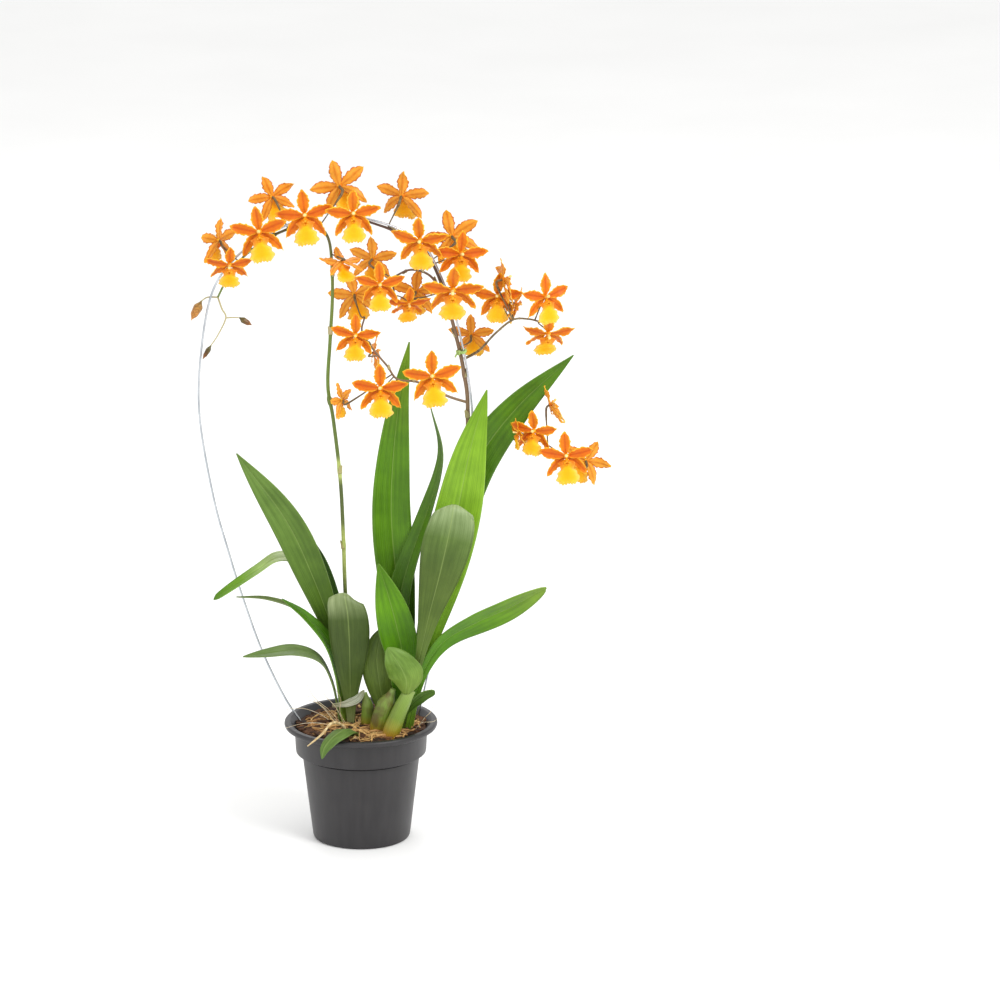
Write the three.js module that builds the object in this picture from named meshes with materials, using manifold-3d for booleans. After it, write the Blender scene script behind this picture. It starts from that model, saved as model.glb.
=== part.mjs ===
// Potted catatante orchid: a nursery pot, its bark mix, a wire arch, two flower spikes tied to it,
// pseudobulbs, leaves and blooms. Millimetres, +Z up, the front of the plant faces -Y, and the
// origin is the centre of the pot's underside.

import * as THREE from "three";
import { mergeGeometries, mergeVertices } from "three/addons/utils/BufferGeometryUtils.js";
import Module from "manifold-3d";

const wasm = await Module();
wasm.setup();

// Pot
const RIM_RADIUS = 60;
const RIM_HEIGHT = 95;
const LIP_WIDTH = 5;
const LIP_HEIGHT = 4.6;
const LIP_ROUNDING = 1.4;
const COLLAR_RADIUS = 51.2;
const COLLAR_TOP_RADIUS = 52.1;
const COLLAR_BOTTOM = 70.8;
const COLLAR_TOP = 88.4;
const LEDGE_ROUNDING = 0.8;
const BODY_TOP_RADIUS = 46.2;
const BODY_TOP = 68.8;
const FOOT_RADIUS = 38.3;
const FOOT_ROUNDING = 2.5;
const WALL = 1.4;
const POT_SIDES = 28;
const DRAIN_RADIUS = 3.5;
const DRAIN_RING = 24;
const DRAIN_COUNT = 6;

// Bark mix
const SOIL_EDGE = 90.3;
const SOIL_EDGE_RADIUS = 50.2;
const SOIL_MIDDLE = 92.3;
const BARK_BUMP = 1.1;

// Gap between touching pieces
const GAP = 0.35;

// Corners closer than this are one corner
const SAME_CORNER = 0.005;

// Wire and stems
const WIRE_RADIUS = 0.85;
const SPIKE_TIP_RADIUS = 0.8;
const BRANCH_RADIUS = 0.85;
const PEDICEL_RADIUS = 0.6;
const OVARY_RADIUS = 1.6;
const BUD_RADIUS = 3;
const HEART_FRONT_RADIUS = 2.7;
const HEART_BACK_RADIUS = 2.2;
const HEART_DEPTH = 3.2;

// One bloom of scale 1
const PETAL_LENGTH = 22;
const PETAL_HALF_WIDTH = 4.8;
const DORSAL_LENGTH = 20;
const DORSAL_HALF_WIDTH = 4.7;
const SEPAL_LENGTH = 22;
const SEPAL_HALF_WIDTH = 4;
const LIP_HALF_WIDTHS = [0.9, 7.4, 5.4, 8.4, 9.8, 7];
const CLAW_START = 1.2;
const OUTER_WHORL = 0.8;
const TEPAL_THICKNESS = 1.1;
const RUFFLE = 0.9;

// Leaves
const LEAF_THICKNESS = 1.3;
const LEAF_ROWS = 10;
const PETIOLE_HALF_WIDTH = 2.6;
const TIP_HALF_WIDTH = 0.3;
const TURNOVER = 0.83;
const TURNOVER_LENGTH = 0.13;

const colours = {
  pot: new THREE.MeshStandardMaterial({ color: 0x3f3e3f, roughness: 0.6 }),
  bark: new THREE.MeshStandardMaterial({ color: 0x5b4230, roughness: 0.95 }),
  root: new THREE.MeshStandardMaterial({ color: 0xc9a569, roughness: 0.8 }),
  wire: new THREE.MeshStandardMaterial({ color: 0xb9bcc2, roughness: 0.25, metalness: 1 }),
  tie: new THREE.MeshStandardMaterial({ color: 0x6fa872, roughness: 0.6 }),
  stem: new THREE.MeshStandardMaterial({ color: 0x6a7040, roughness: 0.5 }),
  bulb: new THREE.MeshStandardMaterial({ color: 0x7f9a3a, roughness: 0.5 }),
  sheath: new THREE.MeshStandardMaterial({ color: 0xc7ccb8, roughness: 0.8 }),
  leaf: new THREE.MeshStandardMaterial({ color: 0x5c9430, roughness: 0.45 }),
  bloom: new THREE.MeshStandardMaterial({ color: 0xe07a26, roughness: 0.6 }),
};

const plant = new THREE.Group();

// Solids: from a closed geometry, joined, and back to a named mesh

function toSolid(geometry) {
  const bare = new THREE.BufferGeometry();
  bare.setAttribute("position", geometry.getAttribute("position").clone());
  bare.setIndex(geometry.index ? geometry.index.clone() : null);
  const merged = mergeVertices(bare, 1e-4);
  const mesh = new wasm.Mesh({
    numProp: 3,
    vertProperties: new Float32Array(merged.getAttribute("position").array),
    triVerts: new Uint32Array(merged.index.array),
  });
  return new wasm.Manifold(mesh);
}

function join(solids) {
  return solids.reduce((whole, solid) => whole.add(solid));
}

// A solid's surface, with corners that a join left almost on top of each other made one

function surfaceOf(solid) {
  const { vertProperties, triVerts } = solid.getMesh();
  const raw = new THREE.BufferGeometry();
  raw.setAttribute("position", new THREE.BufferAttribute(vertProperties, 3));
  raw.setIndex(new THREE.BufferAttribute(triVerts, 1));
  const geometry = mergeVertices(raw, SAME_CORNER);
  const corners = geometry.index.array;
  const kept = [];
  for (let i = 0; i < corners.length; i += 3) {
    const [a, b, c] = corners.slice(i, i + 3);
    if (a !== b && b !== c && c !== a) kept.push(a, b, c);
  }
  geometry.setIndex(kept);
  return geometry;
}

function addNode(name, solid, material, origin = new THREE.Vector3(), turn = new THREE.Quaternion()) {
  const mesh = new THREE.Mesh(surfaceOf(solid), material);
  mesh.name = name;
  mesh.position.copy(origin);
  mesh.quaternion.copy(turn);
  plant.add(mesh);
}

// A seeded random number between 0 and 1

function seeded(seed) {
  let state = (seed * 2654435761) % 4294967296;
  return () => {
    state = (state * 1664525 + 1013904223) % 4294967296;
    return state / 4294967296;
  };
}

// Curves through hand-chosen places

function through(points) {
  const places = points.map(([x, y, z]) => new THREE.Vector3(x, y, z));
  return new THREE.CatmullRomCurve3(places, false, "catmullrom", 0.5);
}

function between(values, t) {
  const place = Math.min(Math.max(t, 0), 1) * (values.length - 1);
  const index = Math.min(Math.floor(place), values.length - 2);
  const share = place - index;
  const smooth = share * share * (3 - 2 * share);
  return values[index] + (values[index + 1] - values[index]) * smooth;
}

// A round stem along a curve, with a radius for each part of its length

function stalk(curve, radii, sides, steps, grow = 0) {
  const geometry = new THREE.CylinderGeometry(1, 1, 1, sides, steps);
  const frames = curve.computeFrenetFrames(steps, false);
  const spot = geometry.getAttribute("position");
  for (let i = 0; i < spot.count; i += 1) {
    const share = spot.getY(i) + 0.5;
    const ring = Math.round(share * steps);
    const radius = between(radii, share) + grow;
    const place = curve.getPointAt(share);
    place.addScaledVector(frames.binormals[ring], spot.getX(i) * radius);
    place.addScaledVector(frames.normals[ring], spot.getZ(i) * radius);
    spot.setXYZ(i, place.x, place.y, place.z);
  }
  return toSolid(geometry);
}

// A blade: two sheets of the same cut, bulged apart in the middle and closed along their rims.
// middle(u, v) gives a place on the blade and the direction across it.

function blade(columns, rows, thickness, middle) {
  const sheets = [1, -1].map((face) => {
    const sheet = new THREE.PlaneGeometry(2, 1, columns, rows);
    const spot = sheet.getAttribute("position");
    for (let i = 0; i < spot.count; i += 1) {
      const u = spot.getX(i);
      const v = spot.getY(i) + 0.5;
      const rim = Math.abs(u) > 0.999 || v < 0.001 || v > 0.999;
      const { place, across } = middle(u, v);
      place.addScaledVector(across, rim ? 0 : (face * thickness) / 2);
      spot.setXYZ(i, place.x, place.y, place.z);
    }
    if (face < 0) {
      const order = sheet.index.array;
      for (let i = 0; i < order.length; i += 3) {
        [order[i], order[i + 1]] = [order[i + 1], order[i]];
      }
    }
    return sheet;
  });
  return toSolid(mergeGeometries(sheets));
}

// Pot: a thin turned shell with a flared rim and drain holes

function turned(profile, sides) {
  const points = profile.map(([radius, height]) => new THREE.Vector2(radius, height));
  const geometry = new THREE.LatheGeometry(points, sides);
  geometry.rotateX(Math.PI / 2);
  return toSolid(geometry);
}

function potProfile() {
  const outside = [
    [0, 0],
    [FOOT_RADIUS - FOOT_ROUNDING, 0],
    [FOOT_RADIUS, FOOT_ROUNDING],
    [BODY_TOP_RADIUS, BODY_TOP],
    [COLLAR_RADIUS - LEDGE_ROUNDING, COLLAR_BOTTOM - LEDGE_ROUNDING],
    [COLLAR_RADIUS, COLLAR_BOTTOM],
    [COLLAR_TOP_RADIUS, COLLAR_TOP],
    [RIM_RADIUS - LIP_ROUNDING, RIM_HEIGHT - LIP_HEIGHT],
    [RIM_RADIUS, RIM_HEIGHT - LIP_HEIGHT + LIP_ROUNDING],
    [RIM_RADIUS, RIM_HEIGHT - LIP_ROUNDING],
    [RIM_RADIUS - LIP_ROUNDING, RIM_HEIGHT],
  ];
  const inside = [
    [RIM_RADIUS - LIP_WIDTH, RIM_HEIGHT - LEDGE_ROUNDING],
    [COLLAR_TOP_RADIUS - WALL, COLLAR_TOP + LEDGE_ROUNDING],
    [COLLAR_RADIUS - WALL, COLLAR_BOTTOM + LEDGE_ROUNDING],
    [BODY_TOP_RADIUS - WALL, BODY_TOP + WALL],
    [FOOT_RADIUS - WALL, FOOT_ROUNDING],
    [FOOT_RADIUS - FOOT_ROUNDING - LEDGE_ROUNDING, WALL],
    [0, WALL],
  ];
  return { outside, inside };
}

function makePot() {
  const { outside, inside } = potProfile();
  let pot = turned([...outside, ...inside], POT_SIDES);
  for (let i = 0; i < DRAIN_COUNT; i += 1) {
    const angle = ((i + 0.5) / DRAIN_COUNT) * Math.PI * 2;
    const drain = new THREE.CylinderGeometry(DRAIN_RADIUS, DRAIN_RADIUS, 4 * WALL, 8);
    drain.rotateX(Math.PI / 2);
    drain.translate(DRAIN_RING * Math.cos(angle), DRAIN_RING * Math.sin(angle), WALL / 2);
    pot = pot.subtract(toSolid(drain));
  }
  addNode("pot", pot, colours.pot);
}

// Wire arch: both feet stand in the bark mix

const wirePath = through([
  [-44, 5, 79], [-47.5, 5, 92], [-60, 5, 112], [-77, 4, 150], [-92, 4, 195], [-102, 4, 230],
  [-113, 4, 273], [-123, 4, 337], [-122, 4, 385], [-113, 4, 436], [-95.5, 4, 464], [-68, 4, 484.5],
  [-26, 4, 500.8], [11.6, 4, 495.2], [36, 4, 486], [53, 4, 473], [71, 4.6, 432], [80, 5.6, 396],
  [84, 7.1, 374], [87.2, 8.6, 347], [87.5, 10, 318], [83, 12, 280], [73, 15, 215], [60, 17, 163],
  [51, 18, 120], [44.5, 17.5, 92], [42, 16, 79],
]);

// Flower spikes and their side branches

const leftSpikePath = through([
  [-7, 14, 80], [-7, 14, 96], [-9, 16, 139], [-12, 16, 196], [-13, 14, 237], [-15, 12, 286],
  [-20, 10, 335], [-24, 9, 363], [-22, 8, 399], [-20, 7.5, 431], [-20, 7, 455], [-22, 6.6, 478],
  [-29, 6.4, 489], [-42, 6.4, 491.5], [-66.5, 6.4, 482], [-80, 6.4, 472.5], [-92.5, 6.4, 461],
  [-102, 6.4, 446], [-108, 6.4, 434],
]);

const rightSpikePath = through([
  [37, 2, 80], [37.5, 2, 106], [48, 11, 148], [61, 17, 196], [73, 19, 245], [82, 16, 294],
  [84, 11.2, 347], [81, 9.6, 374], [77, 8.2, 395], [68, 7, 431], [60, 6.5, 455], [50.5, 6.4, 470.5],
  [34.5, 6.4, 483.3], [11, 6.4, 492.6], [-9, 6.4, 498], [-19, 6.4, 498.5],
]);

const branchPaths = {
  centre: through([
    [84, 11.2, 349], [68, 5, 356], [46, 0, 368], [30, -2, 371], [22, -3, 382], [11, -4, 396],
    [3, -3, 409], [5, 0, 420],
  ]),
  inner: through([[66.5, 7, 436], [55, 3, 452], [42, 1, 457], [32, 0, 454], [27, 0, 449], [28, 0, 436]]),
  budLeft: through([[-108, 6.4, 434], [-116, 6, 434], [-121, 5, 431]]),
  budDown: through([[-108, 6.4, 434], [-105, 6, 425], [-102, 5, 418], [-108, 4, 405], [-114, 3, 396]]),
  budRight: through([[-102, 5, 418], [-96, 4, 418.5], [-91, 3, 418.5]]),
};

const rightSprayPath = through([
  [81.2, 10.6, 384], [87, 10.5, 387], [93, 2, 393], [98, -9, 401], [106, -14, 411], [119, -13, 421],
  [131, -11, 421], [140, -8, 418],
]);

const lowerSprayPath = through([
  [85.5, 14.4, 318], [98, 21, 318], [114, 22, 318], [127, 16, 316], [138, 8, 319], [146, 2, 318],
]);

// A bud on its stalk, plump in the middle

function bud(from, to, radius) {
  const path = through([from, to]);
  return stalk(path, [0.7, radius, radius * 0.85, 0.4], 6, 4);
}

// One sepal or petal of a bloom, in its own frame: x to its right, y to its dorsal sepal and
// z out of its face

function tepal({ angle, length, halfWidth, level, lift, curl, sweep, twist, cup, phase }) {
  const along = new THREE.Vector3(Math.sin(angle), Math.cos(angle), 0);
  const side = new THREE.Vector3(Math.cos(angle), -Math.sin(angle), 0);
  const out = new THREE.Vector3(0, 0, 1);
  return blade(2, 3, TEPAL_THICKNESS, (u, v) => {
    const width = halfWidth * tepalWidth(v);
    const turn = twist * v;
    const across = side.clone().multiplyScalar(-Math.sin(turn)).addScaledVector(out, Math.cos(turn));
    const wide = side.clone().multiplyScalar(Math.cos(turn)).addScaledVector(out, Math.sin(turn));
    const wave = RUFFLE * u * Math.sin(v * 9 + phase) * Math.min(1, 3 * v);
    const place = along.clone().multiplyScalar(CLAW_START + length * v);
    place.addScaledVector(out, level + length * (lift * v + curl * v * v));
    place.addScaledVector(side, length * sweep * v * v);
    place.addScaledVector(wide, u * width);
    place.addScaledVector(across, cup * u * u * width + wave);
    return { place, across };
  });
}

function tepalWidth(v) {
  const swell = Math.sin(Math.PI * Math.pow(v, 1.1)) ** 0.75;
  return Math.max(0.16 * (1 - v) + 0.93 * swell, 0.07);
}

function lip(phase) {
  const path = through([[0, -0.8, 0.9], [0, -4, 4.6], [0, -10, 6.2], [0, -17, 6], [0, -24, 7.5]]);
  return blade(2, 4, TEPAL_THICKNESS, (u, v) => {
    const width = between(LIP_HALF_WIDTHS, v);
    const place = path.getPoint(v);
    const tangent = path.getTangent(v);
    const across = new THREE.Vector3(0, -tangent.z, tangent.y).negate();
    const shoulder = 1.6 * Math.exp(-(((v - 0.2) / 0.14) ** 2));
    const notch = 2.2 * Math.max(0, v - 0.8) * 5 * (1 - Math.abs(u));
    const wave = 0.8 * u * Math.sin(v * 8 + phase) * v;
    place.x += u * width;
    place.addScaledVector(tangent, -notch);
    place.addScaledVector(across, -u * u * (1.6 + shoulder) + wave);
    return { place, across };
  });
}

function column() {
  const path = through([[0, 0.2, 0.4], [0, 1.2, 3.6], [0, 2.5, 6.4]]);
  return stalk(path, [1.1, 1.6], 4, 1);
}

// The stems that blooms hang on, with their radii from foot to tip

const LEFT_SPIKE_RADII = [1.7, 1.6, 1.5, 1.4, 1.1, SPIKE_TIP_RADIUS];
const RIGHT_SPIKE_RADII = [1.9, 1.9, 1.8, 1.6, 1.3, SPIKE_TIP_RADIUS];
const BRANCH_RADII = [1.1, BRANCH_RADIUS, 0.7];

const WIRE_CLEARANCE = 3;
const wireLine = { path: wirePath, radii: [WIRE_RADIUS, WIRE_RADIUS], steps: 42 };

const stems = {
  leftSpike: { path: leftSpikePath, radii: LEFT_SPIKE_RADII, steps: 30 },
  rightSpike: { path: rightSpikePath, radii: RIGHT_SPIKE_RADII, steps: 30 },
  centre: { path: branchPaths.centre, radii: BRANCH_RADII, steps: 12 },
  inner: { path: branchPaths.inner, radii: BRANCH_RADII, steps: 8 },
  rightSpray: { path: rightSprayPath, radii: BRANCH_RADII, steps: 8 },
  lowerSpray: { path: lowerSprayPath, radii: BRANCH_RADII, steps: 8 },
};

// Blooms: where each one's centre is, which way it faces (turn to the right, then up, in
// degrees), how far it leans to its own right, its scale and the stem that carries it

const blooms = [
  { name: "bloom_crown_back", at: [-14, 22, 518], turn: 180, up: 2, lean: 21, scale: 1, stem: "leftSpike" },
  { name: "bloom_crown_left", at: [-40, -13, 503], turn: 4, up: -5, lean: -4, scale: 0.97, stem: "leftSpike" },
  { name: "bloom_crown_right", at: [-3, -16, 505], turn: 5, up: -5, lean: -2, scale: 0.93, stem: "rightSpike" },
  { name: "bloom_spidery", at: [34, 10, 513], turn: 157, up: 12, lean: -4, scale: 0.95, stem: "rightSpike" },
  { name: "bloom_shoulder_front", at: [48, -24, 486], turn: -3, up: -18, lean: -3, scale: 0.98, stem: "rightSpike" },
  { name: "bloom_shoulder_back", at: [72, 24, 478], turn: 186, up: 0, lean: 16, scale: 1, stem: "rightSpike" },
  { name: "bloom_under_shoulder", at: [79, -5, 471], turn: 12, up: -12, lean: 3, scale: 0.93, stem: "rightSpike" },
  { name: "bloom_great", at: [73, -28, 448], turn: -1, up: -28, lean: 1, scale: 1.06, stem: "rightSpike" },
  { name: "bloom_behind_spike", at: [87, 26, 399], turn: 168, up: 2, lean: 4, scale: 0.8, stem: "rightSpike" },
  { name: "bloom_inner_back", at: [11, 16, 462], turn: 165, up: 0, lean: 0, scale: 0.85, stem: "inner" },
  { name: "bloom_inner_front", at: [17, -14, 449], turn: 4, up: -10, lean: 0, scale: 0.87, stem: "inner" },
  { name: "bloom_inner_low", at: [39, -4, 432], turn: 9, up: -37, lean: 1, scale: 0.75, stem: "inner" },
  { name: "bloom_beside_spike", at: [44, 20.5, 435], turn: 180, up: 2, lean: -3, scale: 0.88, stem: "rightSpike" },
  { name: "bloom_hanging", at: [-12, -6, 465], turn: 200, up: -62, lean: 0, scale: 0.78, stem: "leftSpike" },
  { name: "bloom_left_back", at: [-3, 14, 434], turn: 180, up: -8, lean: 11, scale: 0.9, stem: "centre" },
  { name: "bloom_left_front", at: [-2, -10, 408], turn: 0, up: -12, lean: 2, scale: 0.85, stem: "centre" },
  { name: "bloom_left_side", at: [12, 15, 388], turn: 100, up: 0, lean: 0, scale: 0.65, stem: "centre" },
  { name: "bloom_left_low", at: [-13, -4, 355], turn: -125, up: -8, lean: 6, scale: 0.65, stem: "centre" },
  { name: "bloom_centre_front", at: [17, -18, 368], turn: 0, up: -5, lean: -2, scale: 0.96, stem: "centre" },
  { name: "bloom_right_front", at: [57, -20, 378], turn: 2, up: -4, lean: -6, scale: 1, stem: "centre" },
  { name: "bloom_far_left_front", at: [-75, -13, 490], turn: 2, up: -4, lean: -8, scale: 0.98, stem: "leftSpike" },
  { name: "bloom_far_left_back", at: [-66, 20, 510], turn: 205, up: 0, lean: 20, scale: 0.85, stem: "leftSpike" },
  { name: "bloom_end_side", at: [-107, 6, 479], turn: -135, up: 6, lean: 0, scale: 0.85, stem: "leftSpike" },
  { name: "bloom_end_front", at: [-98, -12, 464], turn: 3, up: -32, lean: 1, scale: 0.83, stem: "leftSpike" },
];

const rightSprayBlooms = [
  { at: [112, -6, 451], turn: 102, up: 4, lean: -8, scale: 0.82, stem: "rightSpray" },
  { at: [107, -2, 437], turn: -4, up: -6, lean: 0, scale: 0.87, stem: "rightSpray" },
  { at: [121, -2, 431], turn: 95, up: -30, lean: 0, scale: 0.65, stem: "rightSpray" },
  { at: [144, -14, 439], turn: 24, up: 0, lean: -3, scale: 0.87, stem: "rightSpray" },
  { at: [146, -4, 408], turn: 8, up: -42, lean: 4, scale: 0.9, stem: "rightSpray" },
];

const lowerSprayBlooms = [
  { at: [148, -6, 352], turn: 105, up: 22, lean: 0, scale: 0.75, stem: "lowerSpray" },
  { at: [135, -10, 332], turn: -14, up: -10, lean: 4, scale: 0.82, stem: "lowerSpray" },
  { at: [123, -8, 330], turn: -70, up: -10, lean: 0, scale: 0.55, stem: "lowerSpray" },
  { at: [160, -14, 313], turn: 2, up: -4, lean: -5, scale: 0.93, stem: "lowerSpray" },
  { at: [176, 12, 302], turn: 178, up: 0, lean: -26, scale: 0.85, stem: "lowerSpray" },
];

function stem({ path, radii, steps }, grow = 0) {
  return stalk(path, radii, 5, steps, grow);
}

function placing({ at, turn, up, lean }) {
  const degree = Math.PI / 180;
  const rotation = new THREE.Quaternion()
    .setFromAxisAngle(new THREE.Vector3(0, 0, 1), turn * degree)
    .multiply(new THREE.Quaternion().setFromAxisAngle(new THREE.Vector3(1, 0, 0), (90 - up) * degree))
    .multiply(new THREE.Quaternion().setFromAxisAngle(new THREE.Vector3(0, 0, 1), -lean * degree));
  return { origin: new THREE.Vector3(...at), rotation };
}

// The place on a stem nearest to a target, measured on the straight runs that the stem is made of

function nearestOn({ path, radii, steps }, target) {
  let best = { distance: Infinity };
  const run = new THREE.Line3();
  for (let i = 0; i < steps; i += 1) {
    run.set(path.getPointAt(i / steps), path.getPointAt((i + 1) / steps));
    const share = (i + run.closestPointToPointParameter(target, true)) / steps;
    const place = run.closestPointToPoint(target, true, new THREE.Vector3());
    const distance = place.distanceTo(target);
    if (distance < best.distance) {
      const tangent = run.delta(new THREE.Vector3()).normalize();
      best = { distance, place, tangent, radius: between(radii, share) };
    }
  }
  return best;
}

// The thin stalk from a bloom to its stem: a plump ovary behind the face, then a wire-thin
// pedicel that dips and meets the stem on the side away from the wire arch. It ends a gap short
// of the stem, or sunk in it

function pedicel(bloom, sunk) {
  const { origin, rotation } = placing(bloom);
  const size = bloom.scale;
  const local = (x, y, z) => new THREE.Vector3(x, y, z).multiplyScalar(size)
    .applyQuaternion(rotation).add(origin);
  const bend = local(0, -4.5, -7);
  const seat = nearestOn(stems[bloom.stem], bend);
  const away = bend.clone().sub(seat.place);
  away.addScaledVector(seat.tangent, -away.dot(seat.tangent)).normalize();
  const toWire = nearestOn(wireLine, seat.place).place.sub(seat.place);
  if (toWire.length() < 2 * WIRE_CLEARANCE) {
    toWire.normalize();
    away.addScaledVector(toWire, -Math.max(0, away.dot(toWire))).normalize();
  }
  const reach = sunk ? -0.8 : seat.radius + GAP;
  const points = [
    local(0, 0, 0),
    local(0, -0.4, -3),
    bend,
    seat.place.clone().addScaledVector(away, reach + WIRE_CLEARANCE),
    seat.place.clone().addScaledVector(away, reach),
  ];
  const back = rotation.clone().invert();
  const own = points.map((point) => point.sub(origin).applyQuaternion(back).toArray());
  const ovary = OVARY_RADIUS * size;
  const radii = [ovary, ovary, PEDICEL_RADIUS, PEDICEL_RADIUS, 0.6 * PEDICEL_RADIUS];
  return stalk(through(own), radii, 3, 4);
}

function flower(scale, seed) {
  const random = seeded(seed);
  const vary = (middle, spread) => middle + (random() - 0.5) * spread;
  const degree = Math.PI / 180;
  const parts = [
    tepal({
      angle: vary(0, 8) * degree, length: DORSAL_LENGTH, halfWidth: DORSAL_HALF_WIDTH,
      level: -OUTER_WHORL, lift: vary(0.12, 0.2), curl: vary(-0.1, 0.3), sweep: vary(0, 0.16),
      twist: vary(0, 0.5), cup: 0.18, phase: vary(0, 6),
    }),
  ];
  [-1, 1].forEach((hand) => {
    parts.push(tepal({
      angle: hand * vary(76, 10) * degree, length: PETAL_LENGTH, halfWidth: PETAL_HALF_WIDTH,
      level: 0.6, lift: vary(0.12, 0.16), curl: vary(-0.15, 0.24), sweep: hand * vary(0.02, 0.12),
      twist: vary(0, 0.5), cup: 0.16, phase: vary(0, 6),
    }));
    parts.push(tepal({
      angle: hand * vary(124, 8) * degree, length: SEPAL_LENGTH, halfWidth: SEPAL_HALF_WIDTH,
      level: -OUTER_WHORL, lift: vary(-0.04, 0.06), curl: vary(0.05, 0.16), sweep: hand * vary(0.26, 0.1),
      twist: hand * vary(-0.35, 0.3), cup: 0.2, phase: vary(0, 6),
    }));
  });
  const heart = new THREE.CylinderGeometry(HEART_FRONT_RADIUS, HEART_BACK_RADIUS, HEART_DEPTH, 5);
  heart.rotateX(Math.PI / 2);
  parts.push(toSolid(heart), lip(vary(0, 6)), column());
  return join(parts).scale([scale, scale, scale]);
}

function bloomSolid(bloom, seed, sunk) {
  return flower(bloom.scale, seed).add(pedicel(bloom, sunk));
}

function placed(solid, bloom) {
  const { origin, rotation } = placing(bloom);
  const matrix = new THREE.Matrix4().compose(origin, rotation, new THREE.Vector3(1, 1, 1));
  return solid.transform(matrix.elements);
}

function makeBlooms() {
  blooms.forEach((bloom, index) => {
    const { origin, rotation } = placing(bloom);
    addNode(bloom.name, bloomSolid(bloom, index + 1, false), colours.bloom, origin, rotation);
  });
}

function makeSpray(name, carrier, sprayBlooms, firstSeed) {
  const parts = [stem(carrier)];
  sprayBlooms.forEach((bloom, index) => {
    parts.push(placed(bloomSolid(bloom, firstSeed + index, true), bloom));
  });
  addNode(name, join(parts), colours.bloom);
}

// Spikes with their fused side branches and buds

function makeSpikes() {
  addNode("left_spike", join([
    stem(stems.leftSpike),
    stalk(branchPaths.budLeft, [0.8, 0.7], 4, 2),
    stalk(branchPaths.budDown, [0.8, 0.6], 4, 5),
    stalk(branchPaths.budRight, [0.7, 0.6], 4, 2),
    bud([-120.5, 5, 431.5], [-129, 3, 417], BUD_RADIUS),
    bud([-91.5, 3, 418.7], [-82, 2, 413], BUD_RADIUS * 0.8),
    bud([-113.7, 3, 396.5], [-120, 2, 386], BUD_RADIUS * 0.6),
  ]), colours.stem);
  addNode("right_spike", join([
    stem(stems.rightSpike),
    stem(stems.centre),
    stem(stems.inner),
  ]), colours.stem);
}

function wire(grow = 0) {
  const ring = new THREE.Shape().absarc(0, 0, WIRE_RADIUS + grow, 0, Math.PI * 2);
  return toSolid(new THREE.ExtrudeGeometry(ring, {
    extrudePath: wirePath, steps: wireLine.steps, curveSegments: 3,
  }));
}

// Soft ties: closed loops round the wire and the spike beside it

const TIE_BAND = 1.1;
const TIE_LENGTH = 1.6;
const TIE_SLACK = 0.7;
const TIED_SPIKE_RADIUS = 1.7;
const ties = [
  { name: "tie_left", stem: leftSpikePath, share: 0.91 },
  { name: "tie_top", stem: rightSpikePath, share: 0.955 },
  { name: "tie_right", stem: rightSpikePath, share: 0.66 },
];

function makeTies() {
  ties.forEach(({ name, stem, share }) => {
    const inside = stem.getPointAt(share);
    const axis = stem.getTangentAt(share);
    const toWire = nearestOn(wireLine, inside).place.sub(inside);
    toWire.addScaledVector(axis, -toWire.dot(axis));
    const apart = toWire.length();
    const wide = toWire.normalize();
    const half = (TIED_SPIKE_RADIUS + apart + WIRE_RADIUS) / 2 + TIE_SLACK;
    const narrow = TIED_SPIKE_RADIUS + TIE_SLACK;
    const loop = new THREE.Shape().absellipse(0, 0, half + TIE_BAND, narrow + TIE_BAND, 0, Math.PI * 2);
    loop.holes.push(new THREE.Path().absellipse(0, 0, half, narrow, 0, Math.PI * 2));
    const ring = new THREE.ExtrudeGeometry(loop, {
      depth: TIE_LENGTH, bevelEnabled: false, curveSegments: 4,
    });
    ring.translate(0, 0, -TIE_LENGTH / 2);
    const side = new THREE.Vector3().crossVectors(axis, wide);
    const basis = new THREE.Matrix4().makeBasis(wide, side, axis);
    const centre = inside.clone().addScaledVector(wide, (apart + WIRE_RADIUS - TIED_SPIKE_RADIUS) / 2);
    const rotation = new THREE.Quaternion().setFromRotationMatrix(basis);
    addNode(name, toSolid(ring), colours.tie, centre, rotation);
  });
}

// Pseudobulbs: plump stem bases that stand in the bark mix

const bulbs = {
  bulb_left: { points: [[5.5, -5, 80], [5.5, -5, 92], [5.5, -6, 106], [3.5, -6, 119]], radii: [4.4, 5.6, 4.6, 1.6] },
  bulb_centre: { points: [[14, -19, 80], [15, -19, 92], [19, -21, 110], [26, -22, 127]], radii: [7, 8.4, 7.4, 2.2] },
  bulb_right: { points: [[21, -33, 80], [23, -33, 92], [30, -31, 110], [39, -27, 128]], radii: [5.4, 6.6, 5.8, 4.6] },
};

function bulb({ points, radii }, grow = 0) {
  return stalk(through(points), radii, 8, 6, grow);
}

// Leaves: the middle line of each from its foot to its tip, its half width, where it is widest,
// the direction across it at foot and tip, how far its sides lift, and how blunt it is. Droop is
// how far the sides of a leaf hang down where it turns over

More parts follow.
